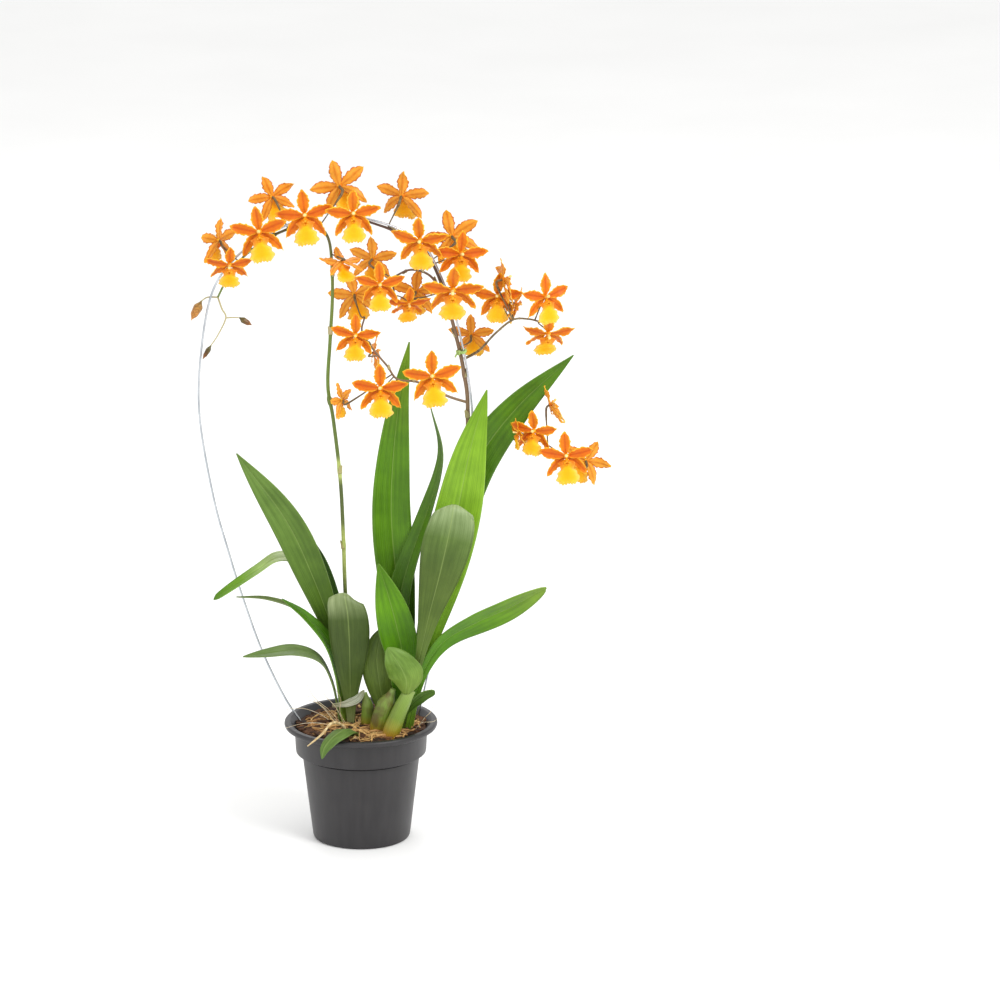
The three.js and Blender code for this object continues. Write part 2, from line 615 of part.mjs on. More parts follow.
const leaves = {
  leaf_long_left: {
    points: [[-8, 5, 80], [-7.5, 6, 99], [-12, 5, 126], [-21, 2, 165], [-37, -2, 213], [-58, -4, 260], [-95, 0, 311]],
    halfWidth: 13, widest: 0.66, sides: [[1, 0.2, 0], [0.8, -0.1, 0.6]], fold: 0.3, blunt: 1,
  },
  leaf_behind_left: {
    points: [[-9, 12, 80], [-10, 12, 100], [-16, 12.5, 148], [-22, 14, 188], [-29, 15, 217], [-37, 16, 237]],
    halfWidth: 6, widest: 0.6, sides: [[0.9, 0.45, 0], [0.9, 0.45, 0.3]], fold: 0.5, blunt: 1,
  },
  leaf_drooping: {
    points: [[-16.5, 10, 80], [-16, 12, 100], [-23, 16, 147], [-36, 17, 192], [-50, 13, 219], [-64, 8, 225],
      [-81, 2, 216], [-114, -6, 195]],
    halfWidth: 6.5, widest: 0.72, sides: [[0, 1, 0], [-0.1, 0.9, 0.45]], fold: 0.2, blunt: 0.6,
  },
  leaf_thin_left: {
    points: [[-13, 5, 80], [-13, 5, 102], [-18, 3, 132], [-29, 1, 160], [-47, -2, 184], [-71, -5, 195], [-96, -8, 198]],
    halfWidth: 4.5, widest: 0.6, sides: [[0.3, 1, 0], [0, 1, 0.1]], fold: 0.4, blunt: 1,
  },
  leaf_bright_left: {
    points: [[-14.5, -2.5, 80], [-14, -2.5, 102], [-18, -5, 137], [-26, -8, 162], [-42, -12, 183], [-60, -14, 198]],
    halfWidth: 5.5, widest: 0.6, sides: [[0.6, 0.7, 0], [0.6, 0.7, 0.4]], fold: 0.4, blunt: 1,
  },
  leaf_low_left: {
    points: [[-17, 2, 80], [-17, 2, 98], [-22, -2, 126], [-32, -8, 147], [-51, -14, 156], [-72, -18, 155], [-91, -20, 153]],
    halfWidth: 7, widest: 0.68, sides: [[0, 1, 0], [-0.1, 0.9, 0.45]], fold: 0.15, blunt: 0.9,
  },
  leaf_folded_left: {
    points: [[-9, -1, 80], [-8, -3, 93], [-8, -10, 121], [-8, -18, 156], [-9, -23, 185], [-11, -22, 200],
      [-11, -17, 204], [-12, -12, 197], [-13, -10, 180]],
    halfWidth: 16, widest: 0.62, sides: [[1, 0, 0], [1, 0, -0.35]], fold: -0.25, blunt: 0.7, droop: 0.35,
  },
  leaf_tall: {
    points: [[24, 2, 80], [28, 0, 109], [32, 1, 152], [29, 4, 199], [25, 6, 248], [25, 8, 287], [30, 10, 343], [39, 12, 397]],
    halfWidth: 15, widest: 0.52, sides: [[1, 0.1, 0], [1, 0, 0]], fold: 0.35, blunt: 1,
  },
  leaf_twisted: {
    points: [[29, -3, 80], [32, -5, 115], [32, -6, 163], [31, -6, 195], [38, -6, 225], [50, -4, 259], [61, -2, 294],
      [63, 0, 318], [55, 2, 348]],
    halfWidth: 9, widest: 0.5, sides: [[1, 0.1, 0], [0.3, -0.9, 0.1]], fold: 0.25, blunt: 1,
  },
  leaf_big_light: {
    points: [[37, -10, 80], [42, -12, 116], [50, -14, 156], [61, -13, 200], [70, -12, 240], [77, -10, 272],
      [86, -8, 316], [99, -4, 363]],
    halfWidth: 18, widest: 0.62, sides: [[1, 0.1, -0.2], [1, 0.1, -0.25]], fold: 0.2, blunt: 1,
  },
  leaf_upper_right: {
    points: [[36, -2, 80], [40, -3, 116], [50, 0, 160], [61, 4, 208], [75, 6, 256], [92, 6, 304], [123, 10, 346],
      [166, 14, 386]],
    halfWidth: 15, widest: 0.66, sides: [[1, 0, -0.2], [0.7, 0.1, -0.7]], fold: 0.2, blunt: 1,
  },
  leaf_folded_right: {
    points: [[39.3, -26.9, 128.5], [46, -31, 152], [54, -35, 190], [63, -39, 227], [70, -41, 259], [73, -39, 276],
      [74, -33, 280], [76, -28, 268], [78, -25, 248]],
    halfWidth: 19, widest: 0.66, sides: [[1, 0, -0.3], [1, 0, -0.35]], fold: -0.2, blunt: 0.7, droop: 0.4,
  },
  leaf_low_right: {
    points: [[35, -14, 80], [41.5, -17, 112], [51, -20, 143], [66, -23, 166], [92, -25, 182], [118, -27, 195], [145, -28, 211]],
    halfWidth: 13, widest: 0.74, sides: [[1, 0.2, -0.3], [0.35, 0.6, -0.6]], fold: 0.12, blunt: 0.55,
  },
  leaf_short_bright: {
    points: [[27, -8, 80], [31, -11, 112], [33, -15, 150], [29, -18, 175], [23, -20, 200], [15, -24, 229]],
    halfWidth: 14, widest: 0.62, sides: [[1, 0, 0], [1, 0, 0.1]], fold: 0.35, blunt: 1,
  },
  leaf_dark: {
    points: [[17, -6, 80], [18, -6, 105], [15, -7, 125], [13, -8, 145], [15, -9, 162], [20, -9, 174]],
    halfWidth: 12, widest: 0.6, sides: [[1, 0, 0], [1, 0, 0]], fold: -0.2, blunt: 0.8,
  },
  leaf_bent: {
    points: [[36.2, -32.8, 126], [36, -37, 140], [30, -41, 154], [22, -42, 167]],
    halfWidth: 14, widest: 0.42, sides: [[1, 0, -0.2], [0.8, 0.1, -0.5]], fold: -0.3, blunt: 0.7,
  },
  leaf_over_rim: {
    points: [[-4, -35, 84], [-5, -38, 96], [-9, -44, 100.5], [-15, -52, 100.5], [-21.5, -60, 97.5], [-26.5, -64, 92], [-28.5, -65, 84]],
    halfWidth: 8, widest: 0.5, sides: [[0.8, -0.5, 0], [0.8, -0.5, 0]], fold: 0.15, blunt: 0.9,
  },
  leaf_stub: {
    points: [[30, -17, 80], [34, -19, 104], [41, -22.5, 115], [49.5, -25.5, 123], [58, -27.5, 127]],
    halfWidth: 5, widest: 0.75, sides: [[0.5, 0.6, -0.3], [0.2, 0.5, -0.85]], fold: 0.35, blunt: 0.2,
  },
  dry_sheath: {
    points: [[-22, -11, 110], [-14, -10, 110.5], [-8, -9.2, 112], [-2, -10, 115.5], [3, -12, 123]],
    halfWidth: 3.5, widest: 0.6, sides: [[0.1, 0.25, -0.95], [0.5, 0.2, -0.7]], fold: 0.1, blunt: 0.7,
  },
};

function leafWidth({ halfWidth, widest, blunt }, v) {
  const power = Math.log(0.5) / Math.log(widest);
  const swell = Math.sin(Math.PI * Math.pow(v, power)) ** (v < widest ? 1.3 : blunt);
  const foot = Math.min(PETIOLE_HALF_WIDTH, halfWidth * 0.5);
  const width = foot * Math.sqrt(1 - v) + (halfWidth - foot * Math.sqrt(1 - widest)) * swell;
  return Math.max(width, TIP_HALF_WIDTH);
}

function leaf(form, rows, grow = 0) {
  const path = through(form.points);
  const [first, last] = form.sides.map((side) => new THREE.Vector3(...side));
  return blade(2, rows, LEAF_THICKNESS + 2 * grow, (u, v) => {
    const tangent = path.getTangentAt(v);
    const wide = first.clone().lerp(last, v);
    wide.addScaledVector(tangent, -wide.dot(tangent)).normalize();
    const across = new THREE.Vector3().crossVectors(wide, tangent);
    const width = leafWidth(form, v) + grow;
    const place = path.getPointAt(v);
    place.addScaledVector(wide, u * width);
    place.addScaledVector(across, form.fold * Math.abs(u) * width);
    const overTop = Math.exp(-(((v - TURNOVER) / TURNOVER_LENGTH) ** 2));
    place.z -= (form.droop ?? 0) * overTop * Math.abs(u) * width;
    return { place, across };
  });
}

function makeLeaves() {
  Object.entries(leaves).forEach(([name, form]) => {
    addNode(name, leaf(form, LEAF_ROWS), name === "dry_sheath" ? colours.sheath : colours.leaf);
  });
}

// The pale root that arches over the rim

const RIM_ROOT_RADII = [1.1, 1, 0.6];
const rimRootPath = through([
  [-12, -30, 84], [-12, -31, 98], [-18, -39, 105], [-23, -47, 106], [-29, -56, 101], [-40, -61, 93],
]);

function rimRoot(grow = 0) {
  return stalk(rimRootPath, RIM_ROOT_RADII, 5, 10, grow);
}

// Bark mix: fills the pot, with a bumpy top, roots lying on it and a plain hole for each foot

function soilProfile() {
  const wall = [
    [0, WALL + GAP],
    [FOOT_RADIUS - FOOT_ROUNDING - LEDGE_ROUNDING - GAP, WALL + GAP],
    [FOOT_RADIUS - WALL - GAP, FOOT_ROUNDING + GAP],
    [BODY_TOP_RADIUS - WALL - GAP, BODY_TOP + WALL + GAP],
    [COLLAR_RADIUS - WALL - GAP, COLLAR_BOTTOM + LEDGE_ROUNDING + GAP],
    [COLLAR_TOP_RADIUS - WALL - GAP, COLLAR_TOP + LEDGE_ROUNDING],
  ];
  const top = [[SOIL_EDGE_RADIUS, SOIL_EDGE], [42, SOIL_EDGE + 0.4], [31, SOIL_EDGE + 1.2], [19, SOIL_MIDDLE - 0.3],
    [8, SOIL_MIDDLE], [0, SOIL_MIDDLE]];
  return [...wall, ...top];
}

function makeSoil() {
  const random = seeded(7);
  const points = soilProfile().map(([radius, height]) => new THREE.Vector2(radius, height));
  const lathe = new THREE.LatheGeometry(points, POT_SIDES);
  lathe.deleteAttribute("normal");
  lathe.deleteAttribute("uv");
  const geometry = mergeVertices(lathe);
  geometry.rotateX(Math.PI / 2);
  const spot = geometry.getAttribute("position");
  for (let i = 0; i < spot.count; i += 1) {
    const radius = Math.hypot(spot.getX(i), spot.getY(i));
    if (spot.getZ(i) >= SOIL_EDGE - 0.01 && radius < 49) {
      spot.setZ(i, spot.getZ(i) + (random() - 0.5) * 2 * BARK_BUMP);
    }
  }
  let soil = toSolid(geometry);
  surfaceRoots.forEach((points) => {
    soil = soil.add(stalk(through(points), [0.9, 0.9, 0.8], 4, 4));
  });
  const feet = [
    wire(GAP),
    stem(stems.leftSpike, GAP),
    stem(stems.rightSpike, GAP),
    rimRoot(GAP),
    ...Object.values(bulbs).map((form) => bulb(form, GAP)),
    ...Object.values(leaves).map((form) => leaf(form, LEAF_ROWS, GAP)),
  ];
  feet.forEach((foot) => {
    soil = soil.subtract(foot);
  });
  addNode("bark_mix", soil, colours.bark);
}

const surfaceRoots = [
  [[-20, -28, 90], [-27, -33, 93.5], [-34, -33, 93], [-40, -27, 90]],
  [[-14, -34, 90], [-9, -41, 93.5], [2, -45, 93.5], [11, -46, 90]],
  [[6, -33, 91], [9, -40, 93.8], [17, -43, 93], [27, -40, 89.5]],
  [[-24, 10, 91], [-31, 4, 93.8], [-38, 6, 93], [-45, 12, 89.5]],
  [[36, -24, 90], [41, -19, 93.5], [43, -10, 93.5], [46, -3, 89.5]],
  [[10, 20, 91], [20, 26, 94], [30, 28, 93], [38, 26, 89.5]],
  [[-20, 22, 90.5], [-12, 30, 94], [-2, 34, 93.5], [8, 40, 89.5]],
  [[-30, -12, 91], [-36, -16, 93.8], [-40, -12, 93], [-46, -6, 89.5]],
];

makePot();
makeSoil();
addNode("wire_arch", wire(), colours.wire);
makeTies();
makeSpikes();
Object.entries(bulbs).forEach(([name, form]) => addNode(name, bulb(form), colours.bulb));
makeLeaves();
addNode("root_over_rim", rimRoot(), colours.root);
makeBlooms();
makeSpray("right_spray", stems.rightSpray, rightSprayBlooms, 31);
makeSpray("lower_spray", stems.lowerSpray, lowerSprayBlooms, 41);

export default plant;
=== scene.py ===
import math
import random

import bmesh
import bpy
from mathutils import Matrix, Quaternion, Vector, noise


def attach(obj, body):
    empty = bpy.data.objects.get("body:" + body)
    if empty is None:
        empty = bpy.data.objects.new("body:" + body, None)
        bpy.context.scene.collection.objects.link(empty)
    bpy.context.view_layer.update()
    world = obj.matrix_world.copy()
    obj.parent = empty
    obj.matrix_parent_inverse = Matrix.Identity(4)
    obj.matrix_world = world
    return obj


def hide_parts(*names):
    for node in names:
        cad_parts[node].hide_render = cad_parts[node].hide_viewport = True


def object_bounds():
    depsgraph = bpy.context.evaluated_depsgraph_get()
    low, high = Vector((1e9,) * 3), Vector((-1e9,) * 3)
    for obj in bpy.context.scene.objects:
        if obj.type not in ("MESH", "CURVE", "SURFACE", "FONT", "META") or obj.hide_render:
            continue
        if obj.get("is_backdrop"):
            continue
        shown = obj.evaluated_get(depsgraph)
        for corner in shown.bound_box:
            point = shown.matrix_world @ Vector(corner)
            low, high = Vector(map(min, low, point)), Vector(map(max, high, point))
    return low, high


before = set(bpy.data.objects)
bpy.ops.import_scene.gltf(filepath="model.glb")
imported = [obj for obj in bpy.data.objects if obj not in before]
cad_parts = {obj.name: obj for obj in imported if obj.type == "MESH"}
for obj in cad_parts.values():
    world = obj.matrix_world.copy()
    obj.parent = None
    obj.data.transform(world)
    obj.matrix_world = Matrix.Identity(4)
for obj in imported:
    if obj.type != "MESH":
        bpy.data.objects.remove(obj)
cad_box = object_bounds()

# Nursery pot: thin dark grey polypropylene, injection moulded in one shot, with a rolled rim for
# grip, a straight collar that ends in a sharp ledge, a tapered body and six drain holes.

# named sizes and places are in millimetres, and Blender's unit is the metre
MM = 0.001
BODY = "root"

POT_OUTSIDE = [
    (0, 0), (35.8, 0), (37.6, 0.8), (38.3, 2.6), (46.1, 67.6), (45.6, 68.2), (45.7, 69), (46.4, 69.4),
    (50.3, 69.9), (51, 70.3), (51.2, 71.2), (52.1, 88.2), (53, 89), (58.2, 90.1), (59.5, 91), (60, 92.4),
    (59.8, 93.8), (59, 94.7), (57.8, 95),
]
POT_INSIDE = [
    (55.6, 94.7), (54.2, 93.6), (50.8, 89.4), (49.8, 72), (49.2, 71.4), (44.9, 70.8), (44.4, 69.8),
    (36.9, 3.2), (34.9, 1.4), (0, 1.4),
]
POT_STEPS = 144
DRAIN_RADIUS = 3.5
DRAIN_RING = 24
DRAIN_COUNT = 6
EDGE_ROUNDING = 0.45


def linear(code):
    """An sRGB hex colour as linear RGBA."""
    parts = [int(code[i:i + 2], 16) / 255 for i in (1, 3, 5)]
    return (*[c / 12.92 if c <= 0.04045 else ((c + 0.055) / 1.055) ** 2.4 for c in parts], 1.0)


def add(tree, kind, links=None, stops=None, **settings):
    """Adds a node with its settings, its colour stops and its inputs, each a value or a socket."""
    made = tree.nodes.new("ShaderNode" + kind)
    for name, value in settings.items():
        setattr(made, name, value)
    if stops:
        elements = made.color_ramp.elements
        while len(elements) < len(stops):
            elements.new(0.5)
        for element, (place, code) in zip(elements, stops):
            element.position = place
            element.color = linear(code)
    for name, value in (links or {}).items():
        if isinstance(value, bpy.types.Node):
            value = value.outputs[0]
        if isinstance(value, bpy.types.NodeSocket):
            tree.links.new(value, made.inputs[name])
        else:
            made.inputs[name].default_value = value
    return made


def new_finish(name, roughness, ior=1.5, metallic=0.0):
    """A new material with its shader's plain numbers set, its node tree and the place on the piece."""
    material = bpy.data.materials.new(name)
    material.use_nodes = True
    tree = material.node_tree
    shader = tree.nodes["Principled BSDF"]
    shader.inputs["Roughness"].default_value = roughness
    shader.inputs["IOR"].default_value = ior
    shader.inputs["Metallic"].default_value = metallic
    return material, tree, add(tree, "TexCoord").outputs["Object"]


def dressed(material, colour, bump=None, roughness=None, plain=None):
    """Links a finish's last nodes to its shader, sets other plain numbers and returns the material."""
    tree = material.node_tree
    shader = tree.nodes["Principled BSDF"]
    for socket, made in (("Base Color", colour), ("Normal", bump), ("Roughness", roughness)):
        if made:
            tree.links.new(made.outputs[0], shader.inputs[socket])
    for socket, value in (plain or {}).items():
        shader.inputs[socket].default_value = value
    return material


def piece(name, mesh, materials, nodes):
    """Makes a finished, smooth piece from a bmesh, riding on the plant's body."""
    data = bpy.data.meshes.new(name)
    mesh.to_mesh(data)
    mesh.free()
    for material in materials:
        data.materials.append(material)
    data.shade_smooth()
    made = bpy.data.objects.new(name, data)
    bpy.context.collection.objects.link(made)
    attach(made, BODY)
    if nodes:
        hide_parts(*nodes)
    return made


def blank():
    """An empty bmesh whose pieces can carry UVs and a tint."""
    mesh = bmesh.new()
    mesh.loops.layers.uv.new("UVMap")
    mesh.verts.layers.float.new("tint")
    return mesh


def spun(profile, steps):
    """A solid of revolution from (radius, height) places in millimetres."""
    mesh = blank()
    spots = [mesh.verts.new((radius * MM, 0, height * MM)) for radius, height in profile]
    for low, high in zip(spots, spots[1:]):
        mesh.edges.new((low, high))
    bmesh.ops.spin(mesh, geom=mesh.verts[:] + mesh.edges[:], cent=(0, 0, 0), axis=(0, 0, 1),
                   angle=math.tau, steps=steps, use_merge=True)
    bmesh.ops.remove_doubles(mesh, verts=mesh.verts, dist=0.001 * MM)
    bmesh.ops.recalc_face_normals(mesh, faces=mesh.faces)
    return mesh


def moulded_plastic():
    """Polypropylene with soot: very dark grey, satin, with faint flow streaks and a little dust."""
    material, tree, place = new_finish("moulded polypropylene", roughness=0.5, ior=1.49)
    # flow streaks run up the wall: about 6 mm wide and ten times as long
    flow = add(tree, "Mapping", {"Vector": place, "Scale": (1, 1, 0.1)})
    streaks = add(tree, "TexNoise", {"Vector": flow, "Scale": 170.0, "Detail": 3.0})
    # dust lies in patches of about 20 mm
    dust = add(tree, "TexNoise", {"Vector": place, "Scale": 45.0, "Detail": 6.0})
    tone = add(tree, "ValToRGB", {"Fac": streaks}, stops=[(0.3, "#211f21"), (0.7, "#2a282a")])
    film = add(tree, "ValToRGB", {"Fac": dust}, stops=[(0.45, "#000000"), (0.85, "#3a3a3a")])
    dusty = add(tree, "MixRGB", {"Fac": film, "Color1": tone, "Color2": linear("#6b6865")})
    rough = add(tree, "MapRange", {"Value": dust.outputs["Fac"], "To Min": 0.3, "To Max": 0.52})
    bump = add(tree, "Bump", {"Height": streaks.outputs["Fac"], "Strength": 0.06, "Distance": 0.2 * MM})
    return dressed(material, dusty, bump, rough)


pot = piece("pot_shell", spun(POT_OUTSIDE + POT_INSIDE, POT_STEPS), [moulded_plastic()], ["pot"])

drains = bmesh.new()
for index in range(DRAIN_COUNT):
    around = Matrix.Rotation((index + 0.5) * math.tau / DRAIN_COUNT, 4, "Z")
    bmesh.ops.create_cone(drains, cap_ends=True, segments=24, radius1=DRAIN_RADIUS * MM,
                          radius2=DRAIN_RADIUS * MM, depth=8 * MM,
                          matrix=around @ Matrix.Translation((DRAIN_RING * MM, 0, 0)))
drain_data = bpy.data.meshes.new("drain_cutter")
drains.to_mesh(drain_data)
drains.free()
cutter = bpy.data.objects.new("drain_cutter", drain_data)
bpy.context.collection.objects.link(cutter)
pot.modifiers.new("drain holes", "BOOLEAN").object = cutter
rounding = pot.modifiers.new("rounded edges", "BEVEL")
rounding.width = EDGE_ROUNDING * MM
rounding.segments = 3
rounding.limit_method = "ANGLE"
rounding.angle_limit = math.radians(24)
punched = bpy.data.meshes.new_from_object(pot.evaluated_get(bpy.context.evaluated_depsgraph_get()))
pot.modifiers.clear()
pot.data = punched
bpy.data.objects.remove(cutter)

# Bark mix: fir bark broken to chips 5 to 14 mm long, dark and damp, filled into the pot by hand.
# Old wiry orchid roots, dried tan and yellow, lie matted over it, the thickest at the front.

SOIL_WALL = [
    (0, 1.8), (34.4, 1.8), (36.4, 3.6), (44.2, 70.6), (49.2, 72.4), (50.2, 88.6), (50.2, 90),
]
SOIL_TOP = [(50, 90.2), (48, 90.3), (44, 90.6), (39, 90.9), (34, 91.1), (29, 91.3), (24, 91.5), (19, 91.7),
            (14, 91.8), (9, 91.9), (4, 92), (0, 92)]
SOIL_STEPS = 96
BED_TOP = 89.9
BED_TOP_RING = 49
BED_MIDDLE = 91.9
BED_FALL = 0.00065
CHIP_SEED = 5
CHIP_COUNT = 430
CHIP_RING = 47.5
CHIP_LENGTHS = (5, 14)
CHIP_WIDTH_SHARES = (0.35, 0.7)
CHIP_THICKNESSES = (1.6, 3.6)
ROOT_SEED = 11
ROOT_COUNT = 160
ROOT_STEP = 6
ROOT_RING = 49
ROOT_RADII = (0.35, 0.45, 0.6, 0.8, 1.0)
# where roots start, across and in depth, each a middle and a spread
ROOT_STARTS = {
    "anywhere": [(0, 24), (0, 26)],
    "front": [(8, 15), (-35, 6)],
    "left": [(-32, 9), (-14, 14)],
    "right": [(38, 5), (-14, 9)],
}
HAIR_RADIUS = 0.22


def bark_finish():
    """Fir bark: rough, cork-like, red-brown inside and grey-black outside, a tone for each chip."""
    material, tree, place = new_finish("broken fir bark", roughness=0.9, ior=1.4)
    tint = add(tree, "Attribute", attribute_name="tint").outputs["Fac"]
    # the cork's layers are 2 to 3 mm thick
    layers = add(tree, "TexNoise", {"Vector": place, "Scale": 420.0, "Detail": 8.0, "Roughness": 0.7})
    chip = add(tree, "ValToRGB", {"Fac": tint}, stops=[
        (0.0, "#2a1b12"), (0.35, "#4a2f1d"), (0.65, "#6b4529"), (0.88, "#8f6238"), (1.0, "#b58a52")])
    grain = add(tree, "ValToRGB", {"Fac": layers}, stops=[(0.35, "#6e6e6e"), (0.65, "#ffffff")])
    tone = add(tree, "MixRGB", {"Fac": 0.75, "Color1": chip, "Color2": grain}, blend_type="MULTIPLY")
    bump = add(tree, "Bump", {"Height": layers.outputs["Fac"], "Strength": 0.8, "Distance": 0.8 * MM})
    return dressed(material, tone, bump)


def tinted(mesh, verts, value):
    """Gives these corners the same tint."""
    layer = mesh.verts.layers.float["tint"]
    for vert in verts:
        vert[layer] = value


def soil_height(x, y):
    """The height of the bark's top in millimetres."""
    rise = BED_MIDDLE - BED_FALL * (x * x + y * y)
    return rise + 1.1 * noise.noise((x * 0.11, y * 0.11, 3)) + 0.5 * noise.noise((x * 0.33, y * 0.33, 8))


bark = bark_finish()
bed = spun(SOIL_WALL + SOIL_TOP, SOIL_STEPS)
for vert in bed.verts:
    x, y, z = vert.co / MM
    if z > BED_TOP and math.hypot(x, y) < BED_TOP_RING:
        vert.co.z = soil_height(x, y) * MM
tinted(bed, bed.verts, 0.25)

draw = random.Random(CHIP_SEED)
for index in range(CHIP_COUNT):
    ring = CHIP_RING * math.sqrt(draw.random())
    around = draw.random() * math.tau
    x, y = ring * math.cos(around), ring * math.sin(around)
    length = draw.uniform(*CHIP_LENGTHS)
    sizes = Vector((length, length * draw.uniform(*CHIP_WIDTH_SHARES), draw.uniform(*CHIP_THICKNESSES))) * MM
    tilt = Matrix.Rotation(draw.random() * math.tau, 4, "Z") @ Matrix.Rotation(draw.gauss(0, 0.35), 4, "X")
    spot = Vector((x, y, soil_height(x, y) + draw.uniform(-0.6, 1.4))) * MM
    chip = bmesh.ops.create_cube(bed, size=1, matrix=Matrix.Diagonal((*sizes, 1)))["verts"]
    for vert in chip:
        vert.co = Vector([vert.co[i] * draw.uniform(0.6, 1.15) for i in range(3)])
    edges = list({edge for vert in chip for edge in vert.link_edges})
    worn = bmesh.ops.bevel(bed, geom=edges, offset=0.16 * sizes.z, offset_type="OFFSET", segments=1,
                           profile=0.5, affect="EDGES", material=-1)
    chip = list({vert for face in worn["faces"] for vert in face.verts})
    bmesh.ops.transform(bed, matrix=Matrix.Translation(spot) @ tilt, verts=chip)
    tinted(bed, chip, min(1, max(0, draw.gauss(0.45, 0.24))))
bark_bed = piece("bark_chips", bed, [bark], ["bark_mix"])
for face in bark_bed.data.polygons:
    face.use_smooth = False


def route(points, samples=160):
    """Evenly spaced places, in metres, on one smooth curve through places in millimetres."""
    fine_steps = 24
    knots = [Vector(point) * MM for point in points]
    knots = [2 * knots[0] - knots[1], *knots, 2 * knots[-1] - knots[-2]]
    fine = []
    for a, b, c, d in zip(knots, knots[1:], knots[2:], knots[3:]):
        for step in range(fine_steps):
            t = step / fine_steps
            fine.append(b + 0.5 * t * (c - a + t * (2 * a - 5 * b + 4 * c - d + t * (3 * (b - c) + d - a))))
    fine.append(knots[-2])
    walked = [0.0]
    for near, far in zip(fine, fine[1:]):
        walked.append(walked[-1] + (far - near).length)
    line, run = [], 0
    for step in range(samples + 1):
        reach = walked[-1] * step / samples
        while run < len(fine) - 2 and walked[run + 1] < reach:
            run += 1
        part = (reach - walked[run]) / max(walked[run + 1] - walked[run], 1e-9)
        line.append(fine[run].lerp(fine[run + 1], min(part, 1)))
    return line


def along(line, share):
    """The place on a route at a share of its length, and the way it runs there."""
    reach = min(max(share, 0), 1) * (len(line) - 1)
    near = min(int(reach), len(line) - 2)
    way = line[min(near + 2, len(line) - 1)] - line[max(near - 1, 0)]
    return line[near].lerp(line[near + 1], reach - near), way.normalized()


def between(values, share):
    """A value part of the way along a list, changing smoothly from each to the next."""
    reach = min(max(share, 0), 1) * (len(values) - 1)
    near = min(int(reach), len(values) - 2)
    part = reach - near
    return values[near] + (values[near + 1] - values[near]) * part * part * (3 - 2 * part)


def stalk(mesh, line, radii, sides, rings, slot=0, swell=None):
    """A closed round stem along a route: a flat grid rolled round it and drawn shut at both ends."""
    made = bmesh.ops.create_grid(mesh, x_segments=sides, y_segments=rings + 2, size=0.5,
                                 calc_uvs=True)["verts"]
    normal = along(line, 0)[1].orthogonal().normalized()
    frames = []
    for ring in range(rings + 1):
        place, way = along(line, ring / rings)
        normal = (normal - way * normal.dot(way)).normalized()
        frames.append((place, normal, way.cross(normal)))
    for vert in made:
        row = round((vert.co.y + 0.5) * (rings + 2))
        ring = min(max(row - 1, 0), rings)
        place, normal, side = frames[ring]
        around = (vert.co.x + 0.5) * math.tau
        radius = 0 if row in (0, rings + 2) else between(radii, ring / rings) * MM
        if swell:
            radius *= swell(ring / rings, around)
        vert.co = place + radius * (math.cos(around) * normal + math.sin(around) * side)
    faces = {face for vert in made for face in vert.link_faces}
    for face in faces:
        face.material_index = slot
    bmesh.ops.remove_doubles(mesh, verts=made, dist=0.0005 * MM)
    return [vert for vert in made if vert.is_valid]


def dry_root():
    """Velamen: the corky, pale skin of a dry orchid root, tan to yellow with darker stains."""
    material, tree, place = new_finish("dry orchid root", roughness=0.75, ior=1.4)
    tint = add(tree, "Attribute", attribute_name="tint").outputs["Fac"]
    # stains about 3 mm across
    patches = add(tree, "TexNoise", {"Vector": place, "Scale": 300.0, "Detail": 4.0})
    skin = add(tree, "ValToRGB", {"Fac": tint}, stops=[
        (0.0, "#7a5632"), (0.3, "#ad8350"), (0.6, "#cfa76a"), (0.85, "#dcc07e"), (1.0, "#efe6cc")])
    stain = add(tree, "ValToRGB", {"Fac": patches}, stops=[(0.4, "#a88a64"), (0.62, "#ffffff")])
    tone = add(tree, "MixRGB", {"Fac": 0.6, "Color1": skin, "Color2": stain}, blend_type="MULTIPLY")
    bump = add(tree, "Bump", {"Height": patches.outputs["Fac"], "Strength": 0.4, "Distance": 0.2 * MM})
    return dressed(material, tone, bump)


root_skin = dry_root()
mat = blank()
draw = random.Random(ROOT_SEED)
for index in range(ROOT_COUNT):
    front = index % 3 == 0
    x, y = [draw.gauss(*spread) for spread in ROOT_STARTS["anywhere"]]
    if front:
        x, y = [draw.gauss(*spread) for spread in ROOT_STARTS["front"]]
    elif index % 4 == 1:
        x, y = [draw.gauss(*spread) for spread in ROOT_STARTS["left"]]
    elif index % 8 == 2:
        x, y = [draw.gauss(*spread) for spread in ROOT_STARTS["right"]]
    heading = draw.random() * math.tau
    level = draw.uniform(1.2, 3)
    points = []
    for step in range(draw.randint(5, 10)):
        if math.hypot(x, y) < ROOT_RING:
            points.append((x, y, soil_height(x, y) + level + draw.gauss(0, 0.5)))
        heading += draw.gauss(0, 0.45)
        x += ROOT_STEP * math.cos(heading)
        y += ROOT_STEP * math.sin(heading)
    if len(points) < 3:
        continue
    # both ends dip under the chips
    for end in (0, -1):
        x, y, z = points[end]
        points[end] = (x, y, z - 3)
    thick = draw.choice(ROOT_RADII)
    verts = stalk(mat, route(points, 40), [thick, thick, 0.7 * thick], 6, 3 * len(points))
    tinted(mat, verts, draw.uniform(0.3, 0.95) if front else draw.uniform(0.15, 0.8))

